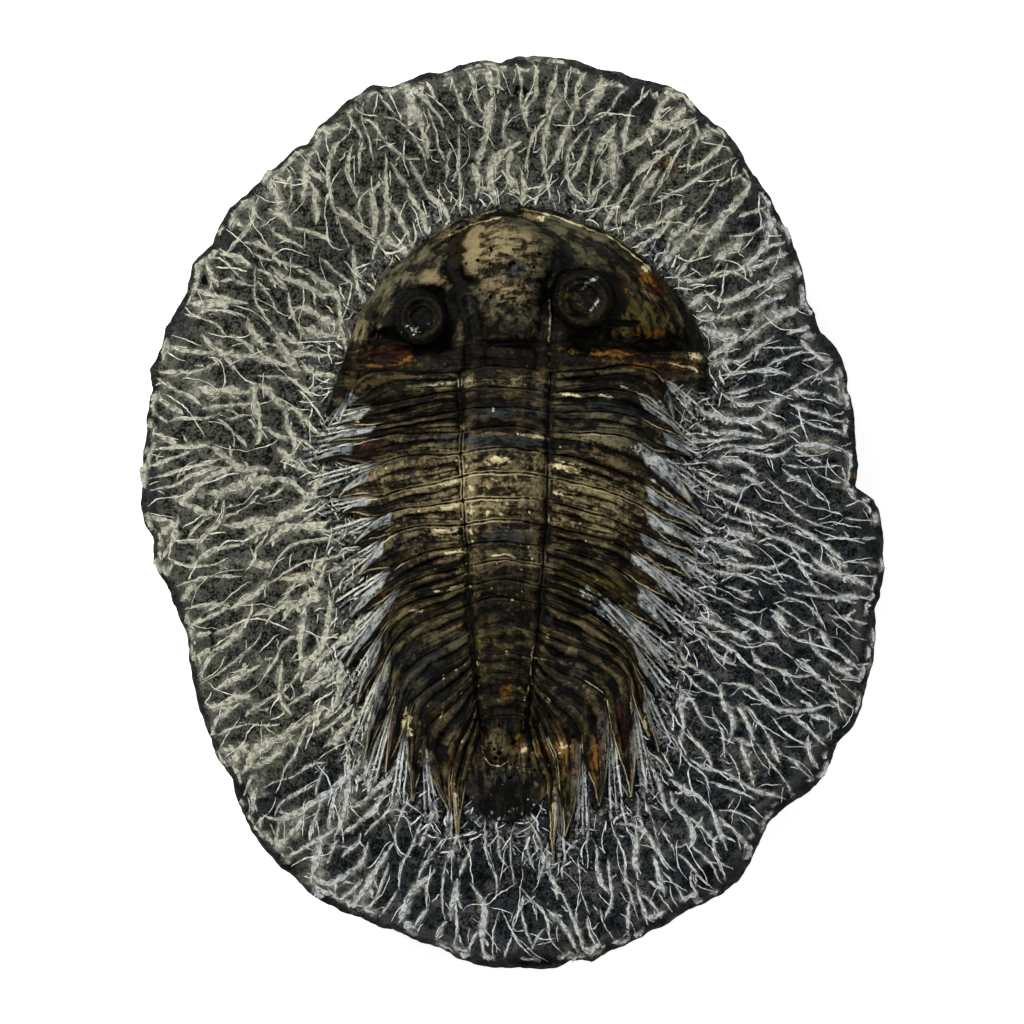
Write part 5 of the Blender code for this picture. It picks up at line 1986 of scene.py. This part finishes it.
# Thin lines of the shell: ink, half a width in pixels, pixels to pass.
SHELL_LINES = (
    (CREAM, 1, ((440, 228), (462, 216), (495, 210))), (CREAM, 0.8, ((448, 236), (470, 224), (500, 217))),
    (CREAM, 0.9, ((520, 208), (550, 214), (582, 226), (612, 238), (642, 262))),
    (CREAM, 0.5, ((481, 745), (484, 757), (490, 764), (500, 766), (508, 761))),
    (CREAM, 0.5, ((604, 742), (608, 770), (606, 800))),
    (CREAM, 0.5, ((630, 700), (634, 730), (636, 752))),
    (CREAM, 0.5, ((655, 690), (659, 715), (662, 745))), (TAN, 0.8, ((440, 655), (445, 690), (440, 720))),
    (TAN, 0.8, ((520, 655), (560, 662), (600, 690), (612, 712))),
    (CREAM, 0.8, ((350, 328), (353, 310), (362, 285), (372, 268))),
    (TAN, 2, ((560, 270), (578, 267), (598, 275), (610, 290))),
    # The two dust lines on the right eye are painted glints on its lenses, not powder.
    (DUST, 1.2, ((580, 290), (588, 282), (597, 278))), (DUST, 1, ((590, 310), (596, 303), (597, 295))),
    (CREAM, 0.9, ((549, 300), (550, 320), (548, 340))),
    (AMBER, 2, ((411, 345), (411, 356), (401, 363), (385, 367), (366, 366))),
    (AMBER, 1, ((600, 347), (620, 352), (640, 357))),
    (DUST, 0.9, ((620, 386), (650, 398), (676, 424), (690, 446))),
    (DUST, 0.9, ((650, 478), (676, 500), (692, 528))), (DUST, 1.1, ((652, 512), (680, 530), (698, 556))),
    (DUST, 0.9, ((648, 522), (676, 548), (694, 574))), (DUST, 1.1, ((645, 555), (668, 574), (688, 606))),
    (DUST, 1, ((640, 562), (662, 588), (680, 616))), (AMBER, 1, ((548, 353), (552, 358), (549, 365))),
    (CREAM, 1, ((670, 363), (684, 366), (697, 370))), (DUST, 0.5, ((410, 388), (445, 383), (480, 380))),
    (CREAM, 0.9, ((492, 555), (505, 553), (515, 557))),
    (TAN, 0.9, ((533, 645), (529, 662), (531, 680), (524, 700))),
    (AMBER, 0.5, ((522, 714), (538, 702), (545, 693), (560, 684), (574, 681))),
    (AMBER, 0.5, ((578, 697), (588, 706), (602, 714))),
)

# Fields of specks: ink, pixel of the middle, half the field's width and height in pixels, how many,
# typical radius in pixels.
SHELL_SPECKS = (
    (PIT, 508, 268, 60, 30, 30, 1.3), (AMBER, 508, 268, 50, 30, 14, 1.5),
    (CREAM, 500, 480, 80, 50, 34, 1.4), (CREAM, 560, 560, 130, 60, 26, 1.1),
    # The dust specks at pixel (415, 330) are painted glints on the left eye's lenses, not powder.
    (DUST, 415, 330, 12, 8, 14, 1.2), (AMBER, 545, 745, 40, 16, 14, 2.0),
    (PIT, 500, 740, 80, 40, 24, 2.0), (CREAM, 530, 780, 50, 40, 22, 0.8),
    (TAN, 520, 780, 60, 40, 40, 2.2), (DUST, 505, 812, 50, 10, 26, 1.4),
    (TAN, 500, 670, 110, 60, 50, 1.8), (TAN, 500, 270, 110, 60, 40, 1.6),
    (AMBER, 500, 640, 90, 60, 40, 1.4),
)

# The left margin of the head shield, in pixels, which bears fibres.
FIBROUS_MARGIN = ((346, 352), (352, 326), (372, 290), (410, 247), (462, 218))


def draw_shell(marks: Marks) -> None:
    """Draws the minerals and the wear of the animal, and the powder between its spines."""
    marks.ovals(marks.shell, SHELL_TINTS)
    marks.ovals(marks.shell, SHELL_SPOTS)
    marks.strokes(marks.shell, SHELL_LINES)
    for ink, px, py, wide, high, count, size in SHELL_SPECKS:
        marks.specks(marks.shell, ink, (px, py), (wide, high), count, size)
    draw_fibres(marks, 46)


def draw_fibres(marks: Marks, count: int, longest: float = 1.4, inwards: float = 26.0) -> None:
    """Draws the fibres of the head shield's left cheek, side by side with its margin.

    Args:
        marks: the charts.
        count: how many.
        longest: of one, in spans between the margin's points.
        inwards: how far from the margin they reach, in pixels.
    """
    rng = np.random.default_rng(41)
    margin = np.array([spot(*p) for p in FIBROUS_MARGIN])
    for _ in range(count):
        ends = np.sort(rng.uniform(0.0, len(margin) - 1.0, 2))
        at = np.linspace(ends[0], min(ends[1], ends[0] + longest), 9)
        line = np.interp(at, range(5), margin.real) + 1j * np.interp(at, range(5), margin.imag)
        line = line + rng.uniform(0.0, inwards) * PIXEL * np.exp(-0.6j) + rng.normal(0.0, 0.03, 9)
        marks.shell.line(TAN, line, rng.uniform(0.5, 1.3, 9) * PIXEL)


def draw_between_spines(marks: Marks) -> list:
    """Draws the powder and the dark cracks that run out between the spines.

    Args:
        marks: the charts.

    Returns:
        The sharpest streaks, which are cuts of their own.
    """
    rng = np.random.default_rng(14)
    made = []
    for flank in (LEFT, RIGHT):
        for fork, *ends in zip(flank.forks, flank.tips, flank.tips[1:]):
            mouth = sum(ends) / len(ends)
            way = unit(mouth - fork)
            t = np.linspace(0.0, 1.0, 14)
            line = fork + (mouth + way * 2.0 - fork) * t
            for k in range(-3, 4):
                aside = way * 1j * (k * 0.34 + rng.normal(0.0, 0.06)) * (0.25 + 0.75 * t)
                ink = PIT if k % 2 else DUST
                widths = rng.uniform(0.5, 1.2, 14) * (0.12 if k % 2 else 0.2)
                marks.rock.line(ink, line + aside, widths, 0.95)
                if k % 2 == 0:
                    first, last = rng.integers(0, 5), rng.integers(10, 15)
                    stray = rng.normal(0.0, 0.03, 14) + 1j * rng.normal(0.0, 0.03, 14)
                    streak = (line + aside + stray)[first:last]
                    made.append(tapered(streak, rng.uniform(0.06, 0.16), rng))
    return made


def draw_by_plates(marks: Marks, ground: Ground) -> None:
    """Draws the pits and the stains that lie in the loosened rock near the plates."""
    rng = np.random.default_rng(23)
    inks = (PIT,) * 4 + (TAN, AMBER)
    for _ in range(2600):
        place = complex(rng.uniform(-24.0, 24.0), rng.uniform(-42.0, 38.0))
        away = ground.away(np.array([place.real]), np.array([place.imag]))[0]
        if not 0.2 < away < rng.uniform(0.5, 4.5):
            continue
        size = rng.uniform(0.14, 0.42)
        marks.rock.blot(inks[rng.integers(len(inks))], place, (size, size * 0.6), rng.uniform(0, 180), 0.95)


def draw_rim(marks: Marks, form: SlabForm) -> list:
    """Draws the pale chips along the broken edge.

    Args:
        marks: the charts.
        form: the slab's outline.

    Returns:
        The chips' sharp edges as cuts.
    """
    rng = np.random.default_rng(31)
    ring = form.outline(1200)
    wide = 0.3 + 0.5 * soft_step(-10.0, 20.0, ring.real)
    marks.rock.line(SHADE, ring - unit(ring) * (wide + 0.2), wide, 0.9)
    made = []
    for _ in range(170):
        first, length = rng.integers(1200), rng.integers(3, 10)
        line = np.roll(ring * rng.uniform(0.965, 0.99), -first)[:length]
        marks.rock.line(STROKE, line, rng.uniform(0.1, 0.35, length))
        made.append(tapered(line, rng.uniform(0.12, 0.45), rng))
    return made


# Single marks of the rock, in the columns of the shell's tables.
ROCK_SPOTS = (
    (AMBER, 677, 97, 6, 4, 0, 0.9), (AMBER, 665, 165, 14, 8, 30, 0.7), (AMBER, 848, 475, 8, 5, 0, 0.8),
    (RUST, 785, 668, 6, 5, 0, 0.7), (TAN, 300, 580, 22, 7, 5, 0.85), (CREAM, 305, 573, 16, 1.6, 5, 0.9),
    (PIT, 522, 92, 9, 7, 0, 0.9), (PIT, 556, 72, 8, 6, 0, 0.85), (PIT, 205, 280, 8, 7, 0, 0.8),
    (PIT, 245, 790, 9, 20, 30, 0.75), (PIT, 290, 865, 9, 9, 0, 0.75), (PIT, 705, 878, 12, 18, 0, 0.75),
    (PIT, 540, 960, 50, 6, 0, 0.8), (SHADE, 755, 200, 44, 60, 30, 0.75),
    (SHADE, 720, 300, 30, 60, 10, 0.6), (SHADE, 152, 450, 7, 110, 0, 0.9),
    (SHADE, 165, 585, 10, 40, 30, 0.9), (SHADE, 235, 240, 30, 12, 45, 0.9),
    (SHADE, 876, 600, 12, 60, 0, 0.9), (SHADE, 620, 930, 50, 10, -20, 0.8),
    (SHADE, 370, 905, 50, 8, 30, 0.8), (SHADE, 645, 100, 46, 26, -25, 1),
    (SHADE, 620, 165, 40, 16, -30, 0.8), (SHADE, 228, 238, 24, 22, 30, 1),
    (SHADE, 180, 330, 16, 30, 20, 0.7), (SHADE, 540, 957, 90, 9, 0, 1.1),
    (SHADE, 262, 800, 26, 44, 35, 0.8), (SHADE, 300, 875, 30, 14, -40, 0.8),
    (SHADE, 715, 880, 40, 24, 30, 0.9), (SHADE, 868, 540, 10, 46, 0, 1),
    (SHADE, 838, 420, 10, 44, 8, 0.9), (SHADE, 800, 800, 50, 22, 50, 0.6),
    (SHADE, 480, 890, 60, 18, 0, 0.6), (SHADE, 560, 175, 40, 14, 0, 0.6),
    (STROKE, 363, 95, 8, 3, 30, 0.9), (STROKE, 318, 133, 8, 3, 40, 0.9),
    (STROKE, 532, 57, 12, 3, 0, 0.95), (STROKE, 869, 667, 3, 6, 0, 0.9),
)

ROCK_LINES = (
    (STROKE, 1.2, ((380, 86), (405, 82))), (STROKE, 1.2, ((480, 61), (500, 59))),
)


# The stylus dug in, just touched the rock, and grazed it near the plates.
BROAD = Stylus(seed=3, spacing=1.1, apart=0.8, length=(5.0, 12.0), half_width=(0.16, 0.56), lean=9.0,
               spread=8.0, wander=4.0, nearest=1.4, farthest=60.0, rim=0.9, skew=13.0)
HAIR = Stylus(seed=6, spacing=1.7, apart=1.05, length=(2.0, 7.0), half_width=(0.05, 0.11), lean=22.0,
              spread=22.0, wander=5.0, nearest=0.2, farthest=60.0, rim=0.8, fading=0.2)
GRAZE = Stylus(seed=8, spacing=0.9, apart=0.45, length=(0.8, 2.8), half_width=(0.05, 0.15), lean=25.0,
               spread=40.0, wander=9.0, nearest=0.1, farthest=3.5, fading=0.1)


def draw_rock(marks: Marks, ground: Ground) -> tuple:
    """Draws the stylus' cuts and the dust of the rock.

    Args:
        marks: the charts.
        ground: the rock around the plates.

    Returns:
        The broad cuts and the fine scratches, which become pieces of their own.
    """
    marks.ovals(marks.rock, ROCK_SPOTS)
    marks.strokes(marks.rock, ROCK_LINES)
    draw_by_plates(marks, ground)
    broad = BROAD.cuts(ground, marks.rock)
    for n, cut in enumerate(broad):
        marks.rock.line(STROKE, cut.line, cut.widths)
        if n % 7 == 0:
            way = math.degrees(np.angle(cut.line[-1] - cut.line[0]))
            size = np.array([3.0, 1.6]) * cut.widths.max()
            marks.rock.blot(STROKE, cut.line[n % len(cut.line)], size, way, 0.85, 0.9, n)
    fine = HAIR.cuts(ground, marks.rock) + GRAZE.cuts(ground, marks.rock) + lips(broad, 0.05)
    fine += draw_between_spines(marks)
    return [*broad, *spurs(broad, ground.form), *draw_rim(marks, ground.form)], fine


def main() -> None:
    """Builds the specimen piece by piece and sets up the studio."""
    logging.basicConfig(level=logging.INFO, format="%(name)s: %(message)s")
    marks = Marks()
    draw_shell(marks)
    plates = [Plate("head_shield", "cephalon", [Head().sheet(180, stations(130, 96))], crest_reach=6)]
    columns = stations(150, 60)
    for n in range(1, BODY.segments + 1):
        front = moved(whole_edge(n - 1, n, columns), -JOINT / 2)
        back = moved(whole_edge(n, n, columns), JOINT / 2)
        sheet = rib_sheet(n, front, back, columns, 26)
        plates.append(Plate(f"thorax_ring_{n:02d}", f"thoracic_segment_{n:02d}", [sheet]))
    plates.append(Plate("tail_shield", "pygidium", Tail().sheets(20, columns)))
    for plate in plates:
        for sheet in plate.sheets:
            sheet.place = strained(sheet.place)
    form = SlabForm()
    ground = Ground(form)
    ground.settle([sheet for plate in plates for sheet in plate.sheets])
    broad, fine = draw_rock(marks, ground)
    shell = CalciteShell().material()
    pieces = []
    for plate in plates:
        plate.shape(marks)
        pieces.append(plate.build(marks, shell))
    slab = Slab(form, ground).build(marks, AbradedLimestone().material())
    powder = StonePowder().material()
    bright = StonePowder(name="stone_powder_bright", warm=("a3a394", "deddcb"), cold=("a0a4a3", "dadddb"))
    crumb = Plain(name="limestone_crumbs_grey", pale="84857c", dark="1d1e1c", roughness=0.85).material()
    pieces += [slab, Scratches(slab, lift=0.03, flat=0.2).build("stylus_cuts", broad, powder),
               Scratches(slab, lift=0.04).build("stylus_scratches", fine, bright.material()),
               Crumbs(slab).build("stone_crumbs", crumb)]
    for side, eye in zip(("left", "right"), Head().eyes):
        lens = Plain(name=f"lens_calcite_{side}", pale="080a09", dark="020202", roughness=0.5, ior=1.6,
                     gloss=0.04)
        pieces.append(EyeLenses(eye).build(f"eye_lenses_{side}", lens.material()))
    for piece in pieces:
        LOG.info("%s: %d faces", piece.name, len(piece.data.polygons))
    floor = Plain(name="studio_floor_lit_acrylic", pale="f6f6f6", dark="f2f2f2", size=400.0, roughness=0.8,
                  glow=0.65)
    Studio().build(floor.material())


if __name__ == "__main__":
    main()
